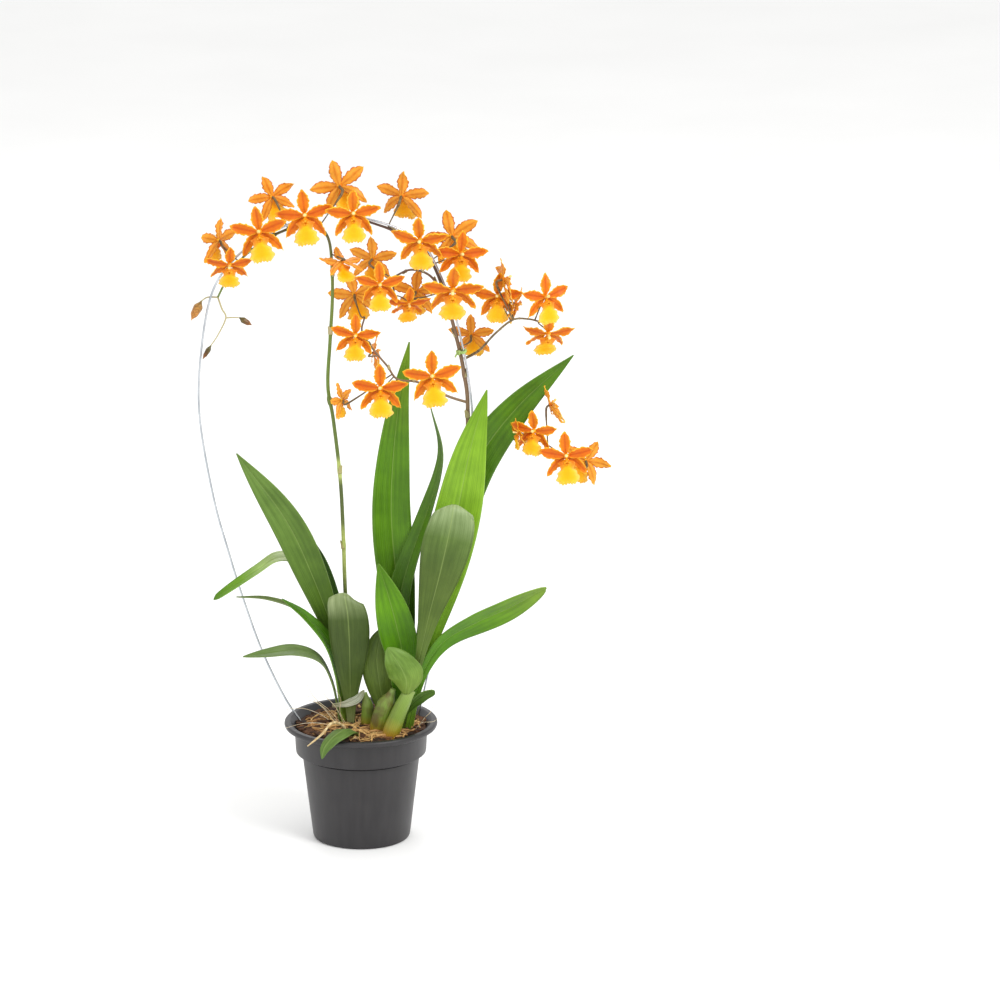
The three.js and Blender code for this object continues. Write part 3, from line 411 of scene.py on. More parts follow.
# the finest ones are pale hairs that stand up round the left growth and at the right edge
HAIRS = [
    [(-14, -4, 91), (-24, -6, 104), (-37, -9, 117), (-45, -12, 137)],
    [(-16, -3, 91), (-30, -4, 107), (-42, -6, 113), (-53, -9, 112)],
    [(-12, -6, 91), (-19, -11, 108), (-28, -17, 121), (-31, -21, 133)],
    [(-18, -9, 91), (-31, -16, 97), (-45, -23, 99), (-60, -27, 96)],
    [(-20, -1, 91), (-33, 2, 99), (-49, 4, 103), (-72, 3, 99)],
    [(-10, -8, 91), (-16, -15, 106), (-15, -21, 118), (-19, -25, 128)],
    [(-17, -7, 91), (-29, -12, 108), (-41, -15, 119), (-48, -19, 121)],
    [(44, -12, 91), (50, -15, 101), (55, -17, 107), (58, -20, 117)],
    [(42, -16, 91), (48, -21, 99), (57, -24, 101), (62, -26, 106)],
]
for index, points in enumerate(HAIRS):
    tinted(mat, stalk(mat, route(points, 40), [HAIR_RADIUS, HAIR_RADIUS, 0.5 * HAIR_RADIUS], 5, 18),
           0.94 + 0.015 * (index % 5))
bmesh.ops.recalc_face_normals(mat, faces=mat.faces)
piece("root_mat", mat, [root_skin], [])

# Root over the rim: one live root, thick as a match, pale yellow with a blunt tip. It left the
# bark between the left growth and the front, crossed the pot's edge and hangs outside it.

RIM_ROOT = [(-12, -30, 88), (-12, -31, 98), (-18, -39, 105), (-23, -47, 106), (-29, -56, 101), (-40, -61, 93)]
RIM_ROOT_RADII = [1.15, 1.15, 1.05, 0.9, 0.5]


def knobbly(share, around):
    """A root's skin swells and narrows a little along its length."""
    return 1 + 0.12 * math.sin(37 * share) + 0.07 * math.sin(83 * share + around)


rim_root = blank()
tinted(rim_root, stalk(rim_root, route(RIM_ROOT), RIM_ROOT_RADII, 12, 60, swell=knobbly), 0.9)
bmesh.ops.recalc_face_normals(rim_root, faces=rim_root.faces)
piece("rim_root", rim_root, [root_skin], ["root_over_rim"])

# Wire arch: one length of 1.7 mm galvanised steel wire, cut and bent to a tall hoop, with both
# ends pushed down into the bark.

WIRE_RADIUS = 0.85
WIRE_ROUTE = [
    (-44, 5, 84), (-47.5, 5, 92), (-60, 5, 112), (-77, 4, 150), (-92, 4, 195), (-102, 4, 230),
    (-113, 4, 273), (-123, 4, 337), (-122, 4, 385), (-113, 4, 436), (-95.5, 4, 464), (-68, 4, 484.5),
    (-26, 4, 500.8), (11.6, 4, 495.2), (36, 4, 486), (53, 4, 473), (71, 4.6, 432), (80, 5.6, 396),
    (84, 7.1, 374), (87.2, 8.6, 347), (87.5, 10, 318), (83, 12, 280), (73, 15, 215), (60, 17, 163),
    (51, 18, 120), (44.5, 17.5, 92), (43, 16.5, 84),
]


def galvanised_steel():
    """Zinc-coated wire: bright grey, smooth from drawing, a little duller in places."""
    material, tree, place = new_finish("galvanised steel wire", roughness=0.24, metallic=1.0)
    # the zinc changes its tone every 10 mm or so
    clouds = add(tree, "TexNoise", {"Vector": place, "Scale": 90.0, "Detail": 3.0})
    zinc = add(tree, "ValToRGB", {"Fac": clouds}, stops=[(0.3, "#a4a9b0"), (0.7, "#cdd1d6")])
    rough = add(tree, "MapRange", {"Value": clouds.outputs["Fac"], "To Min": 0.18, "To Max": 0.34})
    return dressed(material, zinc, roughness=rough)


wire = blank()
wire_line = route(WIRE_ROUTE, 400)
stalk(wire, wire_line, [WIRE_RADIUS, WIRE_RADIUS], 14, 260)
bmesh.ops.recalc_face_normals(wire, faces=wire.faces)
piece("steel_wire", wire, [galvanised_steel()], ["wire_arch"])

# Pseudobulbs: the swollen water-storing stem bases, ribbed and fleshy, yellow-orange where they
# stand in the bark and green above, the centre one flushed purple-brown.

BULBS = {
    "bulb_left": ([(5.5, -5, 84), (5.5, -5, 92), (5.5, -6, 106), (3.5, -6, 119)], [4.4, 5.6, 4.6, 1.6], 0.35),
    "bulb_centre": ([(14, -19, 84), (15, -19, 92), (19, -21, 110), (26, -22, 127)], [7, 8.4, 7.4, 2.2], 0.8),
    "bulb_right": ([(21, -33, 84), (23, -33, 92), (30, -31, 110), (39, -27, 128)], [5.4, 6.6, 5.8, 4.6], 0.1),
}


def bulb_skin():
    """Fleshy green skin: waxy, with fine lengthwise lines, yellow at the foot."""
    material, tree, place = new_finish("pseudobulb skin", roughness=0.4, ior=1.4)
    rows = add(tree, "UVMap", uv_map="UVMap")
    parts = add(tree, "SeparateXYZ", {"Vector": rows})
    tint = add(tree, "Attribute", attribute_name="tint").outputs["Fac"]
    # the purple flush lies in patches of about 10 mm
    patches = add(tree, "TexNoise", {"Vector": place, "Scale": 110.0, "Detail": 5.0})
    height = add(tree, "ValToRGB", {"Fac": parts.outputs["Y"]}, stops=[
        (0.18, "#a8741c"), (0.34, "#8f8a24"), (0.5, "#6c8228"), (0.8, "#76903c"), (1.0, "#8aa054")])
    flush = add(tree, "ValToRGB", {"Fac": patches}, stops=[(0.42, "#000000"), (0.62, "#ffffff")])
    much = add(tree, "Math", {0: flush, 1: tint}, operation="MULTIPLY")
    blushed = add(tree, "MixRGB", {"Fac": much, "Color1": height, "Color2": linear("#5a4424")})
    turns = add(tree, "Math", {0: parts.outputs["X"], 1: math.tau * 26}, operation="MULTIPLY")
    lines = add(tree, "Math", {0: turns}, operation="SINE")
    dark = add(tree, "MapRange", {"Value": lines, "From Min": 0.2, "From Max": 1.0, "To Max": 0.3})
    tone = add(tree, "MixRGB", {"Fac": dark, "Color1": blushed, "Color2": linear("#55702a")})
    bump = add(tree, "Bump", {"Height": lines, "Strength": 0.25, "Distance": 0.15 * MM})
    return dressed(material, tone, bump)


def ribbed(share, around):
    """Shallow ribs round a pseudobulb, fading towards its tip."""
    return 1 + 0.035 * math.cos(7 * around) * (1 - share) + 0.015 * math.sin(13 * around + 4 * share)


fleshy = bulb_skin()
for name, (points, radii, blush) in BULBS.items():
    bulb = blank()
    tinted(bulb, stalk(bulb, route(points), radii, 48, 40, swell=ribbed), blush)
    bmesh.ops.recalc_face_normals(bulb, faces=bulb.faces)
    piece(name + "_skin", bulb, [fleshy], [name])

# Leaves: thin, leathery straps folded lengthwise along a sunk midrib, with fine parallel veins.
# Young ones are bright and glossy, and the folded ones show their dull grey-green undersides.

LEAF_ROWS = 64
LEAF_COLUMNS = 18
LEAF_THICKNESS = 0.8
PETIOLE_HALF_WIDTH = 2.6
TURNOVER = 0.83
TURNOVER_LENGTH = 0.13
TURNOVER_WAVE = 0.25
LEAST_HALF_WIDTH = 0.25
CREASE_DEPTH = 0.45
CREASE_SHARE = 0.07
SHEATH_THICKNESS = 0.35
LEAF_SEED = 3

# for each: its middle line, half width, where it is widest, the way across it at foot and tip,
# how far its sides lift, how blunt it is, how far they hang down where it turns over, and its
# colours from foot to tip on each face, in some of which a pale stop is a painted highlight
LEAVES = {
    "leaf_long_left": (
        [(-8, 5, 84), (-7.5, 6, 99), (-12, 5, 126), (-21, 2, 165), (-37, -2, 213), (-58, -4, 260),
         (-95, 0, 311)],
        13, 0.66, [(1, 0.2, 0), (0.8, -0.1, 0.6)], 0.3, 1, 0,
        ["#6f7f30", "#466018", "#52701e", "#628034", "#6c8a3e"], ["#758c40", "#638040", "#587436"]),
    "leaf_behind_left": (
        [(-9, 12, 84), (-10, 12, 100), (-16, 12.5, 148), (-22, 14, 188), (-29, 15, 217), (-37, 16, 237)],
        6, 0.6, [(0.9, 0.45, 0), (0.9, 0.45, 0.3)], 0.5, 1, 0,
        ["#56682a", "#3b5820", "#34501c"], ["#4d6632", "#42602a"]),
    "leaf_drooping": (
        [(-16.5, 10, 84), (-16, 12, 100), (-23, 16, 147), (-36, 17, 192), (-50, 13, 219), (-64, 8, 225),
         (-81, 2, 216), (-114, -6, 195)],
        6.5, 0.72, [(0, 1, 0), (-0.1, 0.9, 0.45)], 0.2, 0.3, 0,
        # the near-white stops in the middle of both colour lists, where the leaf arches over, are painted sheen
        ["#8a9a60", "#8f9f68", "#98a878", "#a8b48c", "#c4ccb0", "#dfe4d2", "#aac07a", "#6c9820", "#588808"],
        ["#8c9e6c", "#c4ccae", "#7a9a34"]),
    "leaf_thin_left": (
        [(-13, 5, 84), (-13, 5, 102), (-18, 3, 132), (-29, 1, 160), (-47, -2, 184), (-71, -5, 195),
         (-96, -8, 198)],
        4.5, 0.6, [(0.3, 1, 0), (0, 1, 0.1)], 0.4, 1, 0,
        ["#6f7c44", "#66743f", "#5f703c"], ["#7c8860", "#707f50"]),
    "leaf_bright_left": (
        [(-14.5, -2.5, 84), (-14, -2.5, 102), (-18, -5, 137), (-26, -8, 162), (-42, -12, 183),
         (-60, -14, 198)],
        5.5, 0.6, [(0.6, 0.7, 0), (0.6, 0.7, 0.4)], 0.4, 1, 0,
        ["#7a8c30", "#568a16", "#48780f"], ["#6c8c40", "#5c8434"]),
    "leaf_low_left": (
        [(-17, 2, 84), (-17, 2, 98), (-22, -2, 126), (-32, -8, 147), (-51, -14, 156), (-72, -18, 155),
         (-91, -20, 153)],
        7, 0.68, [(0, 1, 0), (-0.1, 0.9, 0.45)], 0.15, 0.9, 0,
        ["#78883c", "#607a34", "#708450", "#5f7c34"], ["#768a50", "#66803f"]),
    "leaf_folded_left": (
        [(-9, -1, 84), (-8, -3, 93), (-8, -10, 121), (-8, -18, 156), (-9, -23, 185), (-11, -22, 200),
         (-11, -17, 204), (-12, -12, 197), (-13, -10, 180)],
        16, 0.62, [(1, 0, 0), (1, 0, -0.35)], -0.25, 0.7, 0.35,
        # the pale sixth stop, where the blade turns over, is a painted highlight on the fold
        ["#a2a878", "#6c7c42", "#4b5d26", "#435420", "#4a5c26", "#9fac7e", "#889864"],
        ["#638430", "#587c28"]),
    "leaf_tall": (
        [(24, 2, 84), (28, 0, 109), (32, 1, 152), (29, 4, 199), (25, 6, 248), (25, 8, 287), (30, 10, 343),
         (39, 12, 397)],
        15, 0.52, [(1, 0.1, 0), (1, 0, 0)], 0.35, 1, 0,
        ["#66822e", "#4f7a16", "#588610", "#5c8c14", "#7aa428"], ["#668a38", "#5c8230"]),
    "leaf_twisted": (
        [(29, -3, 84), (32, -5, 115), (32, -6, 163), (31, -6, 195), (38, -6, 225), (50, -4, 259),
         (61, -2, 294), (63, 0, 318), (55, 2, 348)],
        9, 0.5, [(1, 0.1, 0), (0.3, -0.9, 0.1)], 0.25, 1, 0,
        ["#62802a", "#487010", "#4f7812", "#5c7c38"], ["#8fa860", "#7f9c50", "#6c8c40"]),
    "leaf_big_light": (
        [(37, -10, 84), (42, -12, 116), (50, -14, 156), (61, -13, 200), (70, -12, 240), (77, -10, 272),
         (86, -8, 316), (99, -4, 363)],
        18, 0.62, [(1, 0.1, -0.2), (1, 0.1, -0.25)], 0.3, 1, 0,
        ["#78902a", "#6f9c1c", "#80ac28", "#88b42c", "#7aa61e"], ["#7c9c44", "#70943c"]),
    "leaf_upper_right": (
        [(36, -2, 84), (40, -3, 116), (50, 0, 160), (61, 4, 208), (75, 6, 256), (92, 6, 304), (123, 10, 346),
         (166, 14, 386)],
        15, 0.66, [(1, 0, -0.2), (0.7, 0.1, -0.7)], 0.2, 1, 0,
        ["#5a7824", "#4a7010", "#50800c", "#558212", "#4f7a10"], ["#6c8c44", "#5f843a"]),
    "leaf_folded_right": (
        [(39.3, -26.9, 128.5), (46, -31, 152), (54, -35, 190), (63, -39, 227), (70, -41, 259), (73, -39, 276),
         (74, -33, 280), (75, -28, 268), (76, -25, 248)],
        19, 0.66, [(1, 0, -0.3), (1, 0, -0.1)], -0.2, 0.85, 0.4,
        # the pale sixth stop, where the blade turns over, is a painted highlight on the fold
        ["#6e843c", "#60762f", "#566b28", "#526628", "#5e7636", "#a2b484", "#8fa46c"],
        ["#668c30", "#5c8428"]),
    "leaf_low_right": (
        [(35, -14, 84), (41.5, -17, 112), (51, -20, 143), (66, -23, 166), (92, -25, 182), (118, -27, 195),
         (145, -28, 211)],
        13, 0.74, [(1, 0.2, -0.3), (0.35, 0.6, -0.6)], 0.12, 0.55, 0,
        ["#6c8828", "#56880c", "#548a06", "#60900a", "#7c9c2c"], ["#6c9044", "#62883c"]),
    "leaf_short_bright": (
        [(27, -8, 84), (31, -11, 112), (33, -15, 150), (29, -18, 175), (23, -20, 200), (15, -24, 229)],
        14, 0.62, [(1, 0, 0), (1, 0, 0.1)], 0.4, 1, 0,
        ["#608020", "#4c7c0a", "#568c06", "#60940c", "#5c8c14"], ["#6c9040", "#60883a"]),
    "leaf_dark": (
        [(17, -6, 84), (18, -6, 105), (15, -7, 125), (13, -8, 145), (15, -9, 162), (20, -9, 174)],
        12, 0.6, [(1, 0, 0), (1, 0, 0)], -0.2, 0.8, 0,
        ["#76883c", "#6c8234", "#647c32"], ["#54762c", "#4a6c26"]),
    "leaf_bent": (
        [(36.2, -32.8, 126), (36, -37, 140), (30, -41, 154), (22, -42, 167)],
        14, 0.42, [(1, 0, -0.2), (0.8, 0.1, -0.5)], -0.3, 0.7, 0,
        ["#7c943c", "#70903a", "#7c9c48"], ["#6c8c34", "#62842e"]),
    "leaf_over_rim": (
        [(-4, -35, 88), (-5, -38, 96), (-9, -44, 100.5), (-15, -52, 100.5), (-21.5, -60, 97.5),
         (-26.5, -64, 92), (-28.5, -65, 84)],
        8, 0.5, [(0.8, -0.5, 0), (0.8, -0.5, 0)], 0.15, 0.9, 0,
        ["#6c7c30", "#4c6c22", "#486a28", "#5c7c3c"], ["#6c8440", "#5f7c38"]),
    "leaf_stub": (
        [(30, -17, 84), (34, -19, 104), (41, -22.5, 115), (49.5, -25.5, 123), (58, -27.5, 127)],
        5, 0.75, [(0.5, 0.6, -0.3), (0.2, 0.5, -0.85)], 0.35, 0.2, 0,
        ["#48581f", "#3f5e16", "#4c6f16"], ["#4a6430", "#42602c"]),
    "dry_sheath": (
        [(-22, -11, 110), (-14, -10, 110.5), (-8, -9.2, 112), (-2, -10, 115.5), (3, -12, 123)],
        3.5, 0.6, [(0.1, 0.25, -0.95), (0.5, 0.2, -0.7)], 0.1, 0.7, 0,
        ["#a49a80", "#c8c8b4", "#d4d8c8", "#b4b498"], ["#bdb49c", "#cfc9b6"]),
}


def blade(mesh, columns, rows, thickness, lay, front, back):
    """A thin blade: a flat grid that lay(u, v) puts in place, in millimetres, and a thickness."""
    uv = mesh.loops.layers.uv["UVMap"]
    made = bmesh.ops.create_grid(mesh, x_segments=columns, y_segments=rows, size=0.5, calc_uvs=True)["verts"]
    faces = {face for vert in made for face in vert.link_faces}
    for vert in made:
        vert.co = lay(2 * vert.co.x, vert.co.y + 0.5) * MM
    for part in [*faces, *made]:
        part.normal_update()
    inward = {vert: -thickness * MM * vert.normal for vert in made}
    front_side = bmesh.ops.extrude_face_region(mesh, geom=[*faces], use_keep_orig=True)["geom"]
    for vert, step in inward.items():
        vert.co += step
    fronts = {part for part in front_side if isinstance(part, bmesh.types.BMFace)}
    verts = made + [part for part in front_side if isinstance(part, bmesh.types.BMVert)]
    known = {loop.vert: loop[uv].uv.copy() for face in faces | fronts for loop in face.loops}
    every = {face for vert in verts for face in vert.link_faces}
    for face in every:
        face.material_index = back if face in faces else front
        if face not in faces and face not in fronts:
            for loop in face.loops:
                loop[uv].uv = known[loop.vert]
    bmesh.ops.recalc_face_normals(mesh, faces=[*every])
    return verts


def leaf_width(half_width, widest, blunt, v):
    """Half a leaf's width at a share v of its length, in millimetres."""
    swell = math.sin(math.pi * v ** (math.log(0.5) / math.log(widest))) ** (1.3 if v < widest else blunt)
    foot = min(PETIOLE_HALF_WIDTH, half_width * 0.5)
    width = foot * math.sqrt(1 - v) + (half_width - foot * math.sqrt(1 - widest)) * swell
    return max(width, LEAST_HALF_WIDTH)


def off_middle(tree, parts):
    """How far a place on a blade is from its middle line, as a share of its width."""
    off = add(tree, "Math", {0: parts.outputs["X"], 1: 0.5}, operation="SUBTRACT")
    return add(tree, "Math", {0: off}, operation="ABSOLUTE")


def leaf_skin(name, colours, veins, roughness, papery=False):
    """Leaf skin: waxy cuticle over parallel veins, mottled and streaked, and paler along the midrib, partly its own
    colour and partly a painted highlight.
    """
    material, tree, place = new_finish(name, roughness=roughness, ior=1.42)
    flat = add(tree, "UVMap", uv_map="UVMap")
    parts = add(tree, "SeparateXYZ", {"Vector": flat})
    stops = [(index / (len(colours) - 1), code) for index, code in enumerate(colours)]
    length = add(tree, "ValToRGB", {"Fac": parts.outputs["Y"]}, stops=stops)
    # long streaks follow the veins, each about 2 mm wide and a quarter of the leaf long
    ways = add(tree, "Mapping", {"Vector": flat, "Scale": (veins * 0.55, 4, 1)})
    streaks = add(tree, "TexNoise", {"Vector": ways, "Scale": 1.0, "Detail": 4.0})
    streaky = add(tree, "ValToRGB", {"Fac": streaks}, stops=[(0.35, "#c0c8ac"), (0.62, "#ffffff")])
    toned = add(tree, "MixRGB", {"Fac": 0.55, "Color1": length, "Color2": streaky}, blend_type="MULTIPLY")
    # mottling in patches 10 to 20 mm across
    clouds = add(tree, "TexNoise", {"Vector": place, "Scale": 60.0, "Detail": 5.0})
    patch = add(tree, "ValToRGB", {"Fac": clouds}, stops=[(0.35, "#a9b890"), (0.65, "#ffffff")])
    mottled = add(tree, "MixRGB", {"Fac": 0.4, "Color1": toned, "Color2": patch}, blend_type="MULTIPLY")
    turns = add(tree, "Math", {0: parts.outputs["X"], 1: math.tau * veins}, operation="MULTIPLY")
    ribs = add(tree, "Math", {0: turns}, operation="SINE")
    line = add(tree, "MapRange", {"Value": ribs, "From Min": 0.3, "To Max": 0.55 if papery else 0.22})
    lined = add(tree, "MixRGB", {"Fac": line, "Color1": mottled, "Color2": linear("#3f5a26")})
    away = off_middle(tree, parts)
    # the pale midrib line is partly the midrib's own paler colour and partly a painted highlight along its crease
    middle = add(tree, "ValToRGB", {"Fac": away}, stops=[
        (0.0, "#ffffff"), (0.02, "#7f7f7f"), (0.05, "#000000")])
    midrib_tone_and_highlight = add(tree, "MixRGB", {"Fac": 0.4, "Color1": lined, "Color2": linear("#a9bd70")})
    ribbed_tone = add(tree, "MixRGB", {"Fac": middle, "Color1": lined, "Color2": midrib_tone_and_highlight})
    rim = add(tree, "ValToRGB", {"Fac": away}, stops=[(0.485, "#000000"), (0.5, "#606060")])
    tone = add(tree, "MixRGB", {"Fac": rim, "Color1": ribbed_tone, "Color2": linear("#b9cc86")})
    shine = add(tree, "MapRange", {"Value": clouds.outputs["Fac"], "To Min": roughness - 0.08,
                                   "To Max": roughness + 0.14})
    height = add(tree, "Math", {0: ribs, 1: streaks.outputs["Fac"]}, operation="ADD")
    bump = add(tree, "Bump", {"Height": height, "Strength": 0.3, "Distance": 0.12 * MM})
    return dressed(material, tone, bump, shine, {"Specular IOR Level": 0.3})


def leaf_lay(line, half_width, widest, sides, fold, blunt, droop, phase):
    """Where a leaf's grid lies: curved along its line, folded up from its midrib, gently wavy."""
    first, last = Vector(sides[0]), Vector(sides[1])

    def lay(grid_u, v):
        # rows of the grid are drawn together towards the midrib, which is sharply creased
        u = math.copysign(abs(grid_u) ** 1.35, grid_u)
        place, way = along(line, v)
        wide = first.lerp(last, v)
        wide = (wide - way * wide.dot(way)).normalized()
        across = wide.cross(way)
        width = leaf_width(half_width, widest, blunt, v)
        crease = -CREASE_DEPTH * math.exp(-((u / CREASE_SHARE) ** 2)) * min(1, 6 * (1 - v))
        wave = 0.035 * u * math.sin(11 * v + phase) + 0.02 * u * u * math.sin(23 * v + 2 * phase)
        # a leaf that turns over lies flatter
        wave *= width * (TURNOVER_WAVE if droop else 1)
        lift = fold * width * (abs(u) - 0.12 * math.sin(math.pi * abs(u)))
        drop = droop * width * abs(u) ** 1.6 * math.exp(-(((v - TURNOVER) / TURNOVER_LENGTH) ** 2))
        return place / MM + wide * (u * width) + across * (lift + crease + wave) - Vector((0, 0, drop))

    return lay


draw = random.Random(LEAF_SEED)
for name, (points, half_width, widest, sides, fold, blunt, droop, face, underside) in LEAVES.items():
    papery = name == "dry_sheath"
    veins = round(half_width * 1.5)
    front = leaf_skin(name + " face", face, veins, 0.8 if papery else 0.36, papery)
    back = leaf_skin(name + " underside", underside, veins, 0.8 if papery else 0.5, papery)
    leaf = blank()
    blade(leaf, LEAF_COLUMNS, LEAF_ROWS, SHEATH_THICKNESS if papery else LEAF_THICKNESS,
          leaf_lay(route(points), half_width, widest, sides, fold, blunt, droop, draw.uniform(0, 6)), 0, 1)
    piece(name + "_blade", leaf, [front, back], [name])

# Flower spikes: round, wiry stems. The left one is green and olive in bands, the right one
# brown-purple. A dry bract clasps each joint, and side branches leave from some of them.

LEFT_SPIKE = [
    (-7, 14, 84), (-7, 14, 96), (-9, 16, 139), (-12, 16, 196), (-13, 14, 237), (-15, 12, 286),
    (-20, 10, 335), (-24, 9, 363), (-22, 8, 399), (-20, 7.5, 431), (-20, 7, 455), (-22, 6.6, 478),
    (-29, 6.4, 489), (-42, 6.4, 491.5), (-66.5, 6.4, 482), (-80, 6.4, 472.5), (-92.5, 6.4, 461),
    (-102, 6.4, 446), (-108, 6.4, 434),
]
RIGHT_SPIKE = [
    (37, 2, 84), (37.5, 2, 106), (48, 11, 148), (61, 17, 196), (73, 19, 245), (82, 16, 294),
    (84, 11.2, 347), (81, 9.6, 374), (77, 8.2, 395), (68, 7, 431), (60, 6.5, 455), (50.5, 6.4, 470.5),
    (34.5, 6.4, 483.3), (11, 6.4, 492.6), (-9, 6.4, 498), (-19, 6.4, 498.5),
]
CENTRE_BRANCH = [
    (84, 11.2, 349), (68, 5, 356), (46, 0, 368), (30, -2, 371), (22, -3, 382), (11, -4, 396),
    (3, -3, 409), (5, 0, 420),
]
INNER_BRANCH = [(66.5, 7, 436), (55, 3, 452), (42, 1, 457), (32, 0, 454), (27, 0, 449), (28, 0, 436)]
RIGHT_SPRAY = [
    (81.2, 10.6, 384), (87, 10.5, 387), (93, 2, 393), (98, -9, 401), (106, -14, 411), (119, -13, 421),
    (131, -11, 421), (140, -8, 418),
]
LOWER_SPRAY = [(85.5, 14.4, 318), (98, 21, 318), (114, 22, 318), (127, 16, 316), (138, 8, 319), (146, 2, 318)]

BRANCH_RADII = [1.1, 0.85, 0.7]
STEMS = {
    "leftSpike": (route(LEFT_SPIKE, 320), [1.7, 1.6, 1.5, 1.4, 1.1, 0.8]),
    "rightSpike": (route(RIGHT_SPIKE, 320), [1.9, 1.9, 1.8, 1.6, 1.3, 0.8]),
    "centre": (route(CENTRE_BRANCH), BRANCH_RADII),
    "inner": (route(INNER_BRANCH), BRANCH_RADII),
    "rightSpray": (route(RIGHT_SPRAY), BRANCH_RADII),
    "lowerSpray": (route(LOWER_SPRAY), BRANCH_RADII),
}
# shares of each spike's length where a joint with its bract is
LEFT_JOINTS = [0.16, 0.29, 0.41, 0.52, 0.63, 0.72, 0.8, 0.87, 0.94]
RIGHT_JOINTS = [0.14, 0.27, 0.38, 0.47, 0.55, 0.62, 0.69, 0.76, 0.83, 0.9]
BRANCH_JOINTS = [0.2, 0.4, 0.6, 0.8]
JOINT_SWELL = 0.22
JOINT_LENGTH = 0.006
SPIKE_RINGS = 260
BRANCH_RINGS = 90
BRACT_LENGTH = 7
BRANCH_BRACT_LENGTH = 4
BRACT_THICKNESS = 0.25
BRACT_STAND = 0.35
BRACT_FLARE = 0.9
BRACT_BELOW_JOINT = 0.004
# how far a bract wraps to each side, and the turn from one bract to the next, in radians
BRACT_WRAP = 1.9
BRACT_TURN = 2.4


def spike_skin(name, bands, blush, roughness=0.45):
    """Spike skin: smooth and waxy, coloured in bands by height, with fine lengthwise lines."""
    material, tree, place = new_finish(name, roughness=roughness, ior=1.42)
    height = add(tree, "SeparateXYZ", {"Vector": place}).outputs["Z"]
    # the bands' edges wander by a few millimetres
    wander = add(tree, "TexNoise", {"Vector": place, "Scale": 120.0, "Detail": 3.0})
    share = add(tree, "Math", {0: wander.outputs["Fac"], 1: 0.012, 2: height}, operation="MULTIPLY_ADD")
    level = add(tree, "MapRange", {"Value": share, "From Min": 0.0, "From Max": 0.55})
    tone = add(tree, "ValToRGB", {"Fac": level}, stops=bands)
    grain = add(tree, "Mapping", {"Vector": place, "Scale": (1, 1, 0.12)})
    lines = add(tree, "TexNoise", {"Vector": grain, "Scale": 1400.0, "Detail": 3.0})
    dark = add(tree, "ValToRGB", {"Fac": lines}, stops=[(0.4, "#000000"), (0.7, "#8a8a8a")])
    stained = add(tree, "MixRGB", {"Fac": dark, "Color1": tone, "Color2": linear(blush)})
    bump = add(tree, "Bump", {"Height": lines.outputs["Fac"], "Strength": 0.3, "Distance": 0.1 * MM})
    return dressed(material, stained, bump)


def bract(mesh, line, radii, share, length, turn, slot):
    """A dry bract: a small pointed scale wrapped half round the stem at a joint."""
    start, way = along(line, share)
    normal = way.orthogonal().normalized()
    normal.rotate(Quaternion(way, turn))
    side = way.cross(normal)
    radius = between(radii, share) + BRACT_STAND

    def lay(u, v):
        around = u * BRACT_WRAP * math.sqrt(max(0, 1 - v)) * (1 - 0.2 * v)
        out = radius + BRACT_FLARE * v * v
        return start / MM + way * (length * v) + out * (math.cos(around) * normal + math.sin(around) * side)

    # the sheet's own normal faces inwards here, so it is laid from right to left
    return blade(mesh, 8, 6, BRACT_THICKNESS, lambda u, v: lay(-u, v), slot, slot)


def jointed(joints):
    """A stem is a little swollen at its joints."""

    def swell(share, around):
        return 1 + JOINT_SWELL * max(math.exp(-(((share - joint) / JOINT_LENGTH) ** 2)) for joint in joints)

    return swell


left_skin = spike_skin("olive spike skin", [
    (0.0, "#6b6a3c"), (0.36, "#55602f"), (0.41, "#a9b562"), (0.452, "#a3b05c"), (0.47, "#56632f"),
    (0.525, "#4f5d2c"), (0.535, "#b3bf6c"), (0.556, "#aab764"), (0.57, "#5c6f30"), (0.7, "#6a8436"),
    (0.84, "#6f8038"), (0.9, "#5a5238"), (1.0, "#4f4340")], "#4a4a26")
right_skin = spike_skin("purple-brown spike skin", [
    (0.0, "#7b6a44"), (0.3, "#84714a"), (0.5, "#8a7252"), (0.64, "#887054"), (0.8, "#705844"),
    (0.9, "#5c463c"), (1.0, "#524038")], "#4a3628")
bract_skin = spike_skin("dry bract", [
    (0.0, "#b9a878"), (0.5, "#a8a268"), (0.75, "#b4aa80"), (1.0, "#a39a78")], "#6b5a38", roughness=0.75)


def spike(parts):
    """A spike with its branches, swollen at their joints, each joint with its bract."""
    stems = blank()
    for stem_name, places in parts:
        line, radii = STEMS[stem_name]
        branch = places is BRANCH_JOINTS
        length = BRANCH_BRACT_LENGTH if branch else BRACT_LENGTH
        stalk(stems, line, radii, 14, BRANCH_RINGS if branch else SPIKE_RINGS, swell=jointed(places))
        for index, place in enumerate(places):
            bract(stems, line, radii, place - BRACT_BELOW_JOINT, length, BRACT_TURN * index, 1)
    bmesh.ops.recalc_face_normals(stems, faces=stems.faces)
    return stems


# Buds: three closed flowers at the arch's left end, on thread-thin stalks, green at the foot and
# orange-brown at the tip, with the folded sepals showing as shallow ribs.

# foot, tip, radius and ripeness
BUDS = [
    ((-120.5, 5, 431.5), (-128.6, 3, 416.5), 3.5, 1),
    ((-91.5, 3, 418.7), (-82, 2, 413), 2.4, 0.1),
    ((-113.7, 3, 396.5), (-120, 2, 386), 1.9, 0),
]
BUD_STALKS = [
    ([(-108, 6.4, 434), (-116, 6, 434), (-121, 5, 431)], [0.65, 0.5]),
    ([(-108, 6.4, 434), (-105, 6, 425), (-102, 5, 418), (-108, 4, 405), (-114, 3, 396)], [0.7, 0.45]),
    ([(-102, 5, 418), (-96, 4, 418.5), (-91, 3, 418.5)], [0.55, 0.45]),
]


